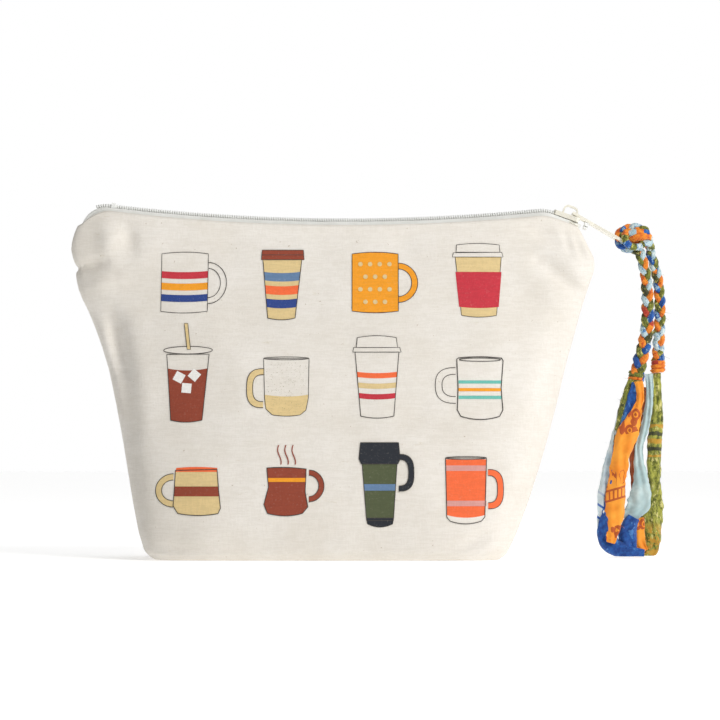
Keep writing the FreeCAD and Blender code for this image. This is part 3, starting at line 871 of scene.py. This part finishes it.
def ringed_mug(p):
    body = [(0.03, 0.95), (0.05, 0.5), (0.03, 0.16), (0.1, 0.06)] + bow(0.1, 0.06, 0.9, 0.06, -0.05)
    body += [(0.97, 0.16), (0.94, 0.5), (0.99, 0.93), (0.96, 0.97)] + bow(0.96, 0.97, 0.06, 0.97, 0.02)
    p.fill("bare", body)
    handle(p, -1, 0.26, 0.82, 0.42, 0.14, None, 2.6)
    for colour, v in (("teal", 0.62), ("amber", 0.5), ("teal", 0.38)):
        p.fill(colour, [(0.06, v), (0.06, v - 0.05), (0.94, v - 0.05), (0.94, v)])
    p.line(body, 0.42, closed=True)
    p.line(ring(0.51, 0.945, 0.43, 0.026), 0.34, closed=True)


def clay_mug(p):
    body = [(0.04, 0.93), (0.02, 0.5), (0.0, 0.2), (0.1, 0.05)] + bow(0.1, 0.05, 0.95, 0.05, -0.04)
    body += [(1.0, 0.16), (0.96, 0.5), (0.92, 0.95)]
    p.fill("tan", body)
    p.fill("coral", [(0.04, 0.9)] + bow(0.06, 0.98, 0.92, 0.98, 0.02) + [(0.93, 0.9)])
    handle(p, -1, 0.18, 0.86, 0.38, 0.13, "tan")
    p.fill("brown", [(0.02, 0.6), (0.015, 0.4), (0.97, 0.4), (0.955, 0.6)])
    p.line(body, 0.34, closed=True)


def steaming_mug(p):
    body = [(0.06, 0.98), (0.1, 0.6), (0.0, 0.25), (0.08, 0.07)] + bow(0.08, 0.07, 0.86, 0.07, -0.05)
    body += [(0.98, 0.2), (0.92, 0.5), (0.94, 0.96)] + bow(0.94, 0.96, 0.06, 0.98, 0.02)
    p.fill("brown", body)
    handle(p, 1, 0.3, 0.94, 0.34, 0.12, "brown")
    p.fill("amber", [(0.085, 0.78), (0.09, 0.7), (0.925, 0.7), (0.93, 0.78)])
    p.line(body, 0.34, closed=True)
    for u in (0.34, 0.5, 0.66):
        p.line([(u + 0.04 * math.sin(1.0 + 0.35 * k), 1.05 + 0.028 * k) for k in range(15)], 0.5, "brown")


def travel_mug(p):
    body = [(0.04, 1.0), (0.16, 0.1), (0.86, 0.1), (0.96, 1.0)]
    p.fill("olive", body)
    p.outlined("black", [(0.16, 0.14), (0.18, 0.05)] + bow(0.18, 0.05, 0.84, 0.05, -0.05) + [(0.86, 0.14)], 0.3)
    p.fill("slate", [(0.09, 0.66), (0.1, 0.56), (0.91, 0.56), (0.92, 0.66)])
    p.line(body, 0.32, closed=True)
    p.outlined("black", [(0.0, 1.3), (-0.04, 1.05), (0.02, 0.97), (0.98, 0.97), (1.04, 1.05), (1.0, 1.3)], 0.3)
    handle(p, 1, 0.55, 1.12, 0.4, 0.14, "black", 2.8)


def tall_mug(p):
    body = [(0.02, 0.97), (0.04, 0.1), (0.12, 0.04)] + bow(0.12, 0.04, 0.84, 0.04, -0.04)
    body += [(0.92, 0.1), (0.97, 0.97)]
    p.fill("bare", body)
    p.fill("coral", [(0.02, 0.95), (0.04, 0.13)] + bow(0.04, 0.13, 0.93, 0.13, -0.04) + [(0.97, 0.95)])
    for v in (0.78, 0.26):
        p.fill("pink", [(0.03, v + 0.08), (0.035, v), (0.955, v), (0.96, v + 0.08)])
    handle(p, 1, 0.22, 0.8, 0.36, 0.14, "coral", 2.8)
    p.line(body, 0.34, closed=True)
    p.line(ring(0.495, 0.97, 0.475, 0.022), 0.26, closed=True)


# Each cup's drawing, and its left edge, base, width and height on the panel.
CUPS = [
    (banded_mug, -77.9, 111.9, 21.2, 26.6),
    (tumbler, -31.8, 107.6, 17.7, 28.1),
    (dotted_mug, 8.8, 111.9, 21.0, 26.5),
    (sleeve_cup, 55.8, 109.2, 21.2, 27.8),
    (iced_cup, -74.7, 61.5, 19.2, 30.7),
    (speckled_mug, -30.9, 64.2, 20.8, 26.7),
    (striped_cup, 10.2, 63.3, 19.7, 29.8),
    (ringed_mug, 55.3, 62.4, 21.8, 28.9),
    (clay_mug, -70.6, 19.8, 21.2, 21.7),
    (steaming_mug, -30.2, 19.4, 19.9, 22.1),
    (travel_mug, 12.6, 14.9, 17.0, 28.8),
    (tall_mug, 50.1, 16.3, 19.3, 30.1),
]


def make_prints():
    for draw, *box in CUPS:
        p = Print("print_" + draw.__name__, *box)
        draw(p)
        p.make()


# ---- zipper ------------------------------------------------------------------------------------
COIL_Y = 1.12           # each coil's middle, from the parting line
COIL_START, COIL_LENGTH = 13.5, 213.5


def parted(x):
    """How far each side stands off the parting line where the slider holds the chain open."""
    return max(0.0, x - 108.3) * 0.18


def make_tape(side):
    """A tape from its coil's edge outwards and down behind the canvas, as distances out and up."""
    word = "front" if side < 0 else "back"
    profile = [(0.55, -1.05), (1.6, -1.05), (3.2, -1.05), (4.9, -1.15),
               (5.8, -1.75), (6.6, -2.7), (7.2, -3.9), (7.5, -5.4)]
    flat, edge = 3.2, 7.5
    rows = []
    for k in range(251):
        place, normal = chain(sum(RUNS) * k / 250)
        room = max(depth_at(place.x, place.z - 3.0) - 1.1, 2.9)
        shut = min(max((-102.5 - place.x) / 1.5, 0.0), 1.0)
        row = []
        for y, lift in profile:
            y += parted(place.x) * max(0.0, 1 - y / 4) - shut * 0.5 * (y < 1)
            across = y if y < flat else flat + (y - flat) * (room - flat) / (edge - flat)
            ripple = 0.12 * wobble((place.x, side * 9.0, y), 7.0, 3.0) * (y > 4)
            row.append((Vector((place.x, side * across, place.z)) + normal * (lift + ripple)) * MM)
        rows.append(row if side < 0 else row[::-1])
    tape = grid_mesh("tape_" + word, rows, MATERIALS["tape"])
    solidify(tape, 0.42, 0.0)
    apply_modifiers(tape)
    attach(tape, "pouch")
    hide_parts("zipper_tape_" + word)
    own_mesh(tape)


def make_coil(side):
    """One side's coil: a flattened spiral sewn along the tape's edge."""
    word = "front" if side < 0 else "back"
    pitch, around, ring_points = 1.06, 12, 6
    half_width, half_height, wire = 1.22, 0.62, 0.47
    turns = int((COIL_LENGTH + 0.5) / pitch)
    rows = []
    for k in range(turns * around + 1):
        a = 2 * math.pi * k / around
        place, normal = chain(COIL_START + pitch * k / around + (pitch / 2 if side > 0 else 0))
        tangent = Vector((normal.z, 0, -normal.x))
        y = COIL_Y + parted(place.x) + half_width * -math.cos(a)
        centre = Vector((place.x, side * y, place.z)) + normal * (half_height * math.sin(a))
        lean = Vector((0, side * half_width * math.sin(a), 0)) + normal * (half_height * math.cos(a))
        way = (lean + tangent * (pitch / 6.28)).normalized()
        first = way.cross(tangent).normalized()
        second = way.cross(first)
        ring_row = []
        for j in range(ring_points):
            b = 2 * math.pi * j / ring_points
            ring_row.append((centre + (first * math.cos(b) + second * math.sin(b)) * wire) * MM)
        rows.append(ring_row)
    coil = grid_mesh("coil_" + word, rows, MATERIALS["coil"], close=True)
    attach(coil, "pouch")
    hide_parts("zipper_coil_" + word)
    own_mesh(coil)


def make_core(side):
    """The filler cord inside a coil."""
    word = "front" if side < 0 else "back"
    rows = []
    for k in range(221):
        place, normal = chain(COIL_START + COIL_LENGTH * k / 220)
        centre = Vector((place.x, side * (COIL_Y + parted(place.x)), place.z))
        rows.append([(centre + Vector((0, 0.95 * math.cos(a), 0)) + normal * (0.6 * math.sin(a))) * MM
                     for a in np.linspace(0, 2 * math.pi, 8, endpoint=False)])
    core = grid_mesh("coil_core_" + word, rows, MATERIALS["tape"], close=True)
    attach(core, "pouch")
    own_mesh(core)


def apply_modifiers(obj):
    graph = bpy.context.evaluated_depsgraph_get()
    mesh = bpy.data.meshes.new_from_object(obj.evaluated_get(graph))
    obj.modifiers.clear()
    obj.data = mesh


def keep_node(node, material):
    """A CAD piece that stays as it is, with softened edges and a better finish."""
    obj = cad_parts[node]
    for slot in obj.material_slots:
        slot.material = material
    bevel = obj.modifiers.new("edges", "BEVEL")
    bevel.width = 0.00018
    bevel.segments = 2
    bevel.limit_method = "ANGLE"
    bevel.angle_limit = math.radians(40)


# ---- wristlet ----------------------------------------------------------------------------------
LEFT_LEG = [(141.2, 0.4, 140.2), (143.8, 0.2, 131.5), (144.6, -0.4, 120.5), (144.8, -0.8, 109.5),
            (143.3, -1.2, 98.5), (140.6, -1.4, 88.5), (139.0, -1.4, 80.5)]
RIGHT_LEG = [(146.0, 2.9, 141.0), (148.9, 3.9, 133.0), (150.6, 4.6, 123.5), (151.0, 4.9, 113.0),
             (150.3, 4.6, 102.5), (149.9, 4.0, 94.0), (149.6, 3.8, 87.0)]


def nurbs_line(points, spacing=0.4):
    """Points evenly spaced along the smooth line that a route controls, in mm."""
    data = bpy.data.curves.new("route", "CURVE")
    data.dimensions = "3D"
    spline = data.splines.new("NURBS")
    spline.points.add(len(points) - 1)
    for point, place in zip(spline.points, points):
        point.co = (*(c * MM for c in place), 1)
    spline.order_u = 3
    spline.use_endpoint_u = True
    spline.resolution_u = 24
    holder = bpy.data.objects.new("route", data)
    bpy.context.collection.objects.link(holder)
    graph = bpy.context.evaluated_depsgraph_get()
    mesh = bpy.data.meshes.new_from_object(holder.evaluated_get(graph))
    line = np.array([v.co for v in mesh.vertices]) / MM
    bpy.data.objects.remove(holder)
    run = np.concatenate([[0], np.cumsum(np.linalg.norm(np.diff(line, axis=0), axis=1))])
    count = max(int(run[-1] / spacing), 4)
    even = np.linspace(0, run[-1], count + 1)
    return [Vector([np.interp(d, run, line[:, k]) for k in range(3)]) for d in even], even


def frames(line):
    """Sideways and depth directions along a line that lies near the XZ plane."""
    out = []
    for k in range(len(line)):
        tangent = (line[min(k + 1, len(line) - 1)] - line[max(k - 1, 0)]).normalized()
        aside = Vector((0, 1, 0)).cross(tangent).normalized()
        out.append((aside, tangent.cross(aside)))
    return out


def strand_rows(line, radius, flat=0.8, folds=5, seed=0.0, around=16):
    """Rings of a soft folded strip of cloth along a line."""
    rows = []
    normal = None
    for k, point in enumerate(line):
        tangent = (line[min(k + 1, len(line) - 1)] - line[max(k - 1, 0)]).normalized()
        if normal is None:
            normal = Vector((0, 1, 0)).cross(tangent).normalized()
        normal = (normal - tangent * normal.dot(tangent)).normalized()
        other = tangent.cross(normal)
        size = radius(k / (len(line) - 1)) if callable(radius) else radius
        row = []
        for j in range(around):
            a = 2 * math.pi * j / around
            spot = (point.x + 9 * math.cos(a), point.y + 9 * math.sin(a), point.z)
            crease = 1 + 0.13 * math.sin(folds * a + 0.25 * k + seed) + 0.22 * wobble(spot, 2.6, seed)
            crease += 0.14 * wobble(spot, 1.1, seed + 4)
            out = normal * (math.cos(a) * size * crease) + other * (math.sin(a) * size * flat * crease)
            row.append((point + out) * MM)
        rows.append(row)
    return rows


def join_strands(name, strands):
    """One mesh from several capped strands, each with its own run of colours."""
    verts, faces, slots, names = [], [], [], []
    for rows, colours in strands:
        base, around = len(verts), len(rows[0])
        verts += [p for row in rows for p in row]
        for r in range(len(rows) - 1):
            colour = colours[int(r / (len(rows) - 1) * len(colours))]
            if colour not in names:
                names.append(colour)
            for c in range(around):
                a, b = base + r * around + c, base + r * around + (c + 1) % around
                faces.append((a, b, b + around, a + around))
                slots.append(names.index(colour))
        faces += [tuple(range(base, base + around))[::-1], tuple(range(len(verts) - around, len(verts)))]
        slots += [names.index(colours[0]), names.index(colours[-1])]
    return new_mesh(name, verts, faces, [MATERIALS["braid_" + n] for n in names], slots)


def plait(name, route, width0, width1, pitch, colours, start=0.0, seed=0.0):
    """A plait of three strips of cloth along a route."""
    line, run = nurbs_line(route, 0.35)
    axes = frames(line)
    strands = []
    for s in range(3):
        path = []
        for k, point in enumerate(line):
            share = k / (len(line) - 1)
            width = width0 + (width1 - width0) * share
            swing = width * 0.27
            turn = start + 2 * math.pi * run[k] / pitch + 2 * math.pi * s / 3
            aside, deep = axes[k]
            path.append(point + aside * (swing * math.sin(turn)) + deep * (width * 0.17 * math.sin(2 * turn)))
        strands.append((strand_rows(path, lambda t: (width0 + (width1 - width0) * t) * 0.255, 0.92,
                                    seed=seed + s), colours[s]))
    obj = join_strands(name, strands)
    return obj, [p * MM for p in line]


def to_wristlet(obj, *nodes, slot=None):
    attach(obj, "wristlet")
    if nodes:
        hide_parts(*nodes)
    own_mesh(obj)


def make_legs():
    left, left_path = plait(
        "plait_left", LEFT_LEG, 4.5, 6.7, 14.5,
        [["olive", "olive", "dark", "olive", "olive", "dark", "olive", "olive"],
         ["orange", "orange", "orange", "red", "orange", "orange", "orange"],
         ["pale", "pale", "pale", "blue", "pale", "blue", "blue"]], 0.6, 1.0)
    to_wristlet(left, "wristlet_braid_left")
    right, right_path = plait(
        "plait_right", RIGHT_LEG, 4.3, 5.5, 13.5,
        [["olive", "dark", "olive", "olive", "olive", "pale", "olive"],
         ["pale", "orange", "orange", "orange", "orange", "orange"],
         ["blue", "pale", "blue", "blue", "pale", "pale", "blue"]], 2.4, 5.0)
    to_wristlet(right, "wristlet_braid_right")
    return (left, left_path), (right, right_path)


# The strips wound round the bight: name, radius, flatness, seed, colours and route.
HITCH_STRIPS = [
    ("hitch_turn", 1.75, 0.8, 3.0, ["orange"], [
        (136.2, -1.6, 145.6), (138.4, -3.4, 146.6), (141.8, -3.4, 147.3), (145.2, -1.6, 147.6),
        (145.6, 1.6, 146.8), (142.4, 3.8, 145.8), (138.6, 3.6, 145.4), (136.4, 1.8, 145.2)]),
    ("hitch_inner", 1.7, 0.9, 8.0, ["olive", "pale", "orange", "blue"], [
        (133.4, -1.4, 147.2), (136.6, -2.8, 148.8), (140.8, -3.0, 149.4), (144.8, -1.4, 148.4)]),
    ("hitch_front", 1.55, 0.85, 11.0, ["orange", "olive", "blue", "olive", "pale"], [
        (134.8, -2.2, 149.6), (133.4, -4.8, 146.6), (134.6, -5.2, 143.4), (138.0, -4.2, 142.0),
        (141.6, -2.8, 142.6)]),
    ("hitch_under", 1.5, 0.85, 6.0, ["olive", "pale", "olive"], [
        (139.6, -1.0, 141.6), (141.6, -2.6, 143.4), (144.4, -2.0, 144.6), (146.4, 0.6, 143.6),
        (146.2, 3.0, 141.6)]),
]


def make_hitch():
    """The plait's bight: over the pull's end, through its eye, back under it, and a turn round both."""
    bight = [(146.2, 2.6, 141.6), (145.2, 1.2, 146.4), (143.2, -0.6, 150.2), (139.2, -1.6, 151.4),
             (134.8, -1.2, 150.6), (131.6, -0.4, 148.6), (131.7, 0.0, 145.4), (133.2, 0.0, 142.6),
             (136.4, 0.2, 142.0), (139.4, 0.3, 141.8), (141.2, 0.4, 139.6)]
    loop = plait("hitch_bight", bight, 4.4, 4.6, 12.5,
                 [["olive", "blue", "pale", "olive", "blue", "olive"],
                  ["orange", "olive", "orange", "orange", "olive", "dark"],
                  ["pale", "orange", "orange", "blue", "pale", "pale"]], 1.2, 2.0)[0]
    to_wristlet(loop, "wristlet_hitch")
    for name, radius, flat, seed, colours, route in HITCH_STRIPS:
        line = nurbs_line(route, 0.35)[0]
        obj = join_strands(name, [(strand_rows(line, radius, flat, seed=seed), colours)])
        to_wristlet(obj, slot="wristlet_hitch")


def make_wrap(name, node, place, below, radius, turns, colours, seed):
    """Cloth wound round the foot of a plait."""
    centre, axis = Vector(place), Vector(below) - Vector(place)
    length, axis = axis.length, axis.normalized()
    side = Vector((0, 1, 0)).cross(axis).normalized()
    deep = axis.cross(side)
    path = []
    for k in range(turns * 30 + 1):
        a = 2 * math.pi * k / 30
        lump = radius * (1 + 0.07 * math.sin(3 * a + seed))
        out = (side * math.cos(a) + deep * math.sin(a)) * lump
        path.append(centre + axis * (length * k / (turns * 30)) + out)
    obj = join_strands(name, [(strand_rows(path, length / turns * 0.62, 0.62, seed=seed), colours)])
    to_wristlet(obj, node)


# Loose strips: name, node, material, curl, Y and a route of X, Z and width.
STRIPS = [
    ("loose_olive_left", None, "braid_olive", 0.8, [-4.4, -4.6, -4.6, -4.5, -4.4, -4.3, -4.2], [
        (137.4, 81.0, 4.0), (136.1, 78.4, 4.8), (135.0, 75.1, 4.6), (133.7, 69.3, 4.3), (132.2, 63.5, 3.9),
        (130.7, 57.7, 3.5), (129.5, 52.2, 2.6)]),
    ("loose_blue", "strip_blue", "strip_blue", 0.7, -5.4, [
        (138.6, 80.0, 3.6), (138.0, 75.1, 5.6), (136.6, 69.3, 5.6), (134.4, 63.5, 5.0), (132.2, 57.7, 4.4),
        (130.4, 52.0, 3.7), (129.6, 46.0, 4.0), (128.8, 38.0, 4.6), (127.9, 30.0, 5.5), (127.1, 21.8, 6.4),
        (124.8, 15.4, 7.3), (124.3, 10.0, 7.3), (127.5, 5.4, 8.2), (132.1, 3.1, 7.3), (137.5, 2.2, 5.5),
        (142.0, 1.5, 4.0)]),
    ("loose_pale", "strip_pale", "strip_pale", 0.5,
     [-2.2, -2.3, -2.5, -2.9, -3.3, -3.6, -3.6, -3.6, -3.6, -3.6, -3.6, -3.6], [
        (136.5, 78.4, 2.6), (134.0, 72.9, 2.8), (131.8, 64.7, 3.0), (130.2, 57.4, 3.4), (128.5, 50.1, 4.6),
        (127.2, 43.7, 5.5), (125.9, 37.0, 6.2), (124.5, 30.0, 6.5), (123.8, 22.5, 6.4), (123.6, 15.8, 5.8),
        (124.6, 9.9, 6.4), (127.7, 4.9, 5.5)]),
    ("loose_orange", "strip_orange", "strip_orange", 0.6, -7.0, [
        (139.6, 80.6, 4.2), (140.8, 75.1, 3.0), (139.6, 69.3, 4.0), (137.7, 64.0, 6.4), (135.0, 57.7, 9.4),
        (132.9, 51.9, 9.0), (131.3, 46.0, 7.9), (130.4, 40.3, 7.6), (129.5, 34.5, 7.7), (129.1, 28.7, 8.4),
        (128.8, 22.9, 8.9), (128.4, 17.1, 8.5), (127.6, 11.3, 6.0), (126.3, 7.0, 3.8)]),
    ("loose_rust", "strip_rust", "strip_rust", 0.6, 5.6, [
        (143.0, 78.3, 3.3), (142.8, 72.2, 3.1), (141.7, 65.8, 3.0), (140.2, 59.3, 2.8), (139.1, 53.8, 2.8),
        (138.4, 46.4, 2.8), (138.4, 40.0, 3.0), (139.0, 34.5, 3.1), (139.5, 28.9, 3.3), (140.2, 21.6, 4.1),
        (140.6, 15.1, 5.5), (140.4, 8.7, 5.5), (140.2, 4.6, 4.6)]),
    ("loose_aqua", "strip_aqua", "strip_aqua", 0.5, -1.4, [
        (145.2, 84.2, 3.5), (145.3, 80.3, 3.3), (145.4, 75.7, 3.2), (145.1, 70.2, 3.3), (144.3, 64.7, 3.6),
        (142.9, 59.2, 3.6), (141.2, 53.7, 3.4), (140.1, 49.2, 3.5), (140.3, 43.7, 4.2), (140.9, 38.2, 5.0),
        (141.2, 32.7, 6.9), (140.8, 27.2, 9.6), (139.4, 22.6, 11.0), (136.2, 19.4, 8.3),
        (133.6, 17.6, 5.1)]),
    ("loose_blue_inner", None, "strip_blue", 0.6, -4.6, [
        (137.5, 18.6, 5.5), (135.7, 15.4, 7.3), (134.5, 10.8, 8.0), (134.9, 6.3, 8.0), (135.8, 3.1, 5.5)]),
    ("loose_orange_inner", None, "strip_orange", 0.6, 0.6, [
        (140.8, 18.5, 4.0), (140.1, 13.4, 5.5), (139.9, 8.9, 5.9), (141.0, 4.6, 6.0), (142.5, 2.4, 5.0)]),
    ("loose_olive", "strip_olive", "strip_olive", 0.9, 2.6, [
        (148.8, 84.6, 4.6), (149.0, 78.6, 4.1), (149.3, 73.1, 4.1), (149.5, 67.6, 4.4), (149.0, 62.0, 5.7),
        (148.4, 56.5, 6.3), (148.1, 51.0, 6.1), (147.8, 45.5, 6.1), (147.7, 40.0, 6.3), (147.8, 34.5, 5.7),
        (148.1, 29.0, 5.2), (147.5, 22.6, 6.6), (146.9, 17.1, 8.5), (146.9, 11.6, 9.2), (146.9, 7.0, 9.0),
        (146.9, 3.3, 7.7), (144.9, 1.2, 5.5), (142.3, 1.2, 4.0)]),
]


def make_strip(name, node, material, curl, y, route):
    """A loose strip of cloth, curled along its length and crumpled."""
    ys = y if isinstance(y, list) else [y] * len(route)
    line, run = nurbs_line([(x, at, z) for (x, z, _), at in zip(route, ys)], 0.7)
    axes = frames(line)
    columns = 21
    seed = sum(map(ord, name)) % 17
    stops = np.linspace(0, 1, len(route))
    rows = []
    for k, point in enumerate(line):
        t = k / (len(line) - 1)
        width = np.interp(t, stops, [p[2] for p in route]) * (1 + 0.14 * wobble((0, seed, run[k]), 6.0, seed))
        aside = axes[k][0]
        bend = 0.5 + curl * (0.9 + 0.6 * math.sin(run[k] / 9.0 + seed))
        radius = width / 2 / math.sin(min(bend, 1.5))
        row = []
        for c in range(columns):
            u = c / (columns - 1) * 2 - 1
            angle = u * bend
            across = radius * (math.sin(angle) if abs(angle) < 1.5 else math.copysign(1, angle))
            into = radius * (1 - math.cos(angle)) * 0.8
            spot = (point.x + across, u * 2.0, point.z)
            crumple = 0.75 * wobble(spot, 3.2, seed) + 0.35 * wobble(spot, 1.5, seed + 5)
            crumple += 0.4 * math.sin(u * 6 + run[k] / 5 + seed)
            edge = 0.5 * wobble((u * 9, seed, point.z), 2.4, seed) * abs(u) ** 3
            place = point + aside * (across + edge) + Vector((0, into + crumple * min(1, 0.25 + t * 8), 0))
            place.z = max(place.z + 0.3 * wobble(spot, 2.6, seed + 9), 0.75)
            row.append(place * MM)
        rows.append(row)
    obj = grid_mesh(name, rows, MATERIALS[material])
    solidify(obj, 0.3, 0.0)
    apply_modifiers(obj)
    slot = node or material.replace("braid", "strip")
    to_wristlet(obj, *([node] if node else []), slot=slot)
    across = sum((b - a).length for row in rows for a, b in zip(row, row[1:])) / len(rows)
    edges = [r[0] / MM for r in rows] + [r[-1] / MM for r in rows]
    fray = make_fray("fray" + name[5:], edges, 16, seed, material)
    to_wristlet(fray, slot=slot)


def make_fray(name, places, count, seed, material):
    """Loose threads that stand off an edge."""
    rng = np.random.default_rng(seed + 100)
    verts, faces = [], []
    for _ in range(count):
        at = places[int(rng.integers(len(places)))]
        way = Vector((rng.normal(), 0.7 * rng.normal() - 0.4, rng.normal() - 0.3)).normalized()
        bend = Vector((rng.normal(), rng.normal(), rng.normal())) * 0.5
        length = rng.uniform(1.4, 3.6)
        base = len(verts)
        for k in range(6):
            t = k / 5
            centre = at + way * (length * t) + bend * (t * t)
            centre.z = max(centre.z, 0.8)
            for a in (0, 2.1, 4.2):
                offset = Vector((math.cos(a), math.sin(a), 0.5 * math.sin(a + 1))) * (0.09 * (1 - 0.6 * t))
                verts.append((centre + offset) * MM)
        for k in range(5):
            for c in range(3):
                a, b = base + 3 * k + c, base + 3 * k + (c + 1) % 3
                faces.append((a, b, b + 3, a + 3))
        faces += [(base + 2, base + 1, base), (base + 15, base + 16, base + 17)]
    return new_mesh(name, verts, faces, [MATERIALS[material]])


# ---- build -------------------------------------------------------------------------------------
make_materials()
make_camera()
(left_leg, left_path), (right_leg, right_path) = make_legs()
make_hitch()
make_wrap("wound_left", "wrap_left", (139.6, -1.4, 84.6), (138.7, -1.4, 79.6), 2.9, 3,
          ["olive", "olive", "orange", "olive"], 1.0)
make_wrap("wound_right", "wrap_right", (149.8, 3.9, 90.6), (149.5, 3.8, 85.2), 2.5, 3,
          ["orange", "red", "orange", "orange"], 4.0)
for spec in STRIPS:
    make_strip(*spec)
make_studio()

for side, word in ((-1, "front"), (1, "back")):
    canvas = panel("canvas_" + word, side, 0.0, CANVAS_LIFT, MATERIALS["canvas"], 200, 128, 22)
    solidify(canvas, 0.9, -1.0)
    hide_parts(word + "_panel")
    lining = panel("lining_cloth_" + word, side, 1.25, LINING_LIFT, MATERIALS["lining"], 90, 60, 8)
    solidify(lining, 0.3, -1.0)
    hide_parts("lining_" + word)
    make_tape(side)
    make_coil(side)
    make_core(side)
make_prints()
for node, finish in (("slider_body", "enamel"), ("pull_tab", "enamel"),
                     ("top_stops", "coil"), ("bottom_stop", "coil")):
    keep_node(node, MATERIALS[finish])

frays = []
for word, path, seed in (("left", left_path, 3), ("right", right_path, 8)):
    skin = [p / MM + Vector((2.4 * math.cos(k), 2.0 * math.sin(k), 0)) for k, p in enumerate(path[8:])]
    frays.append(make_fray("fray_plait_" + word, skin, 26, seed, "braid_olive"))
    to_wristlet(frays[-1], slot="wristlet_braid_" + word)
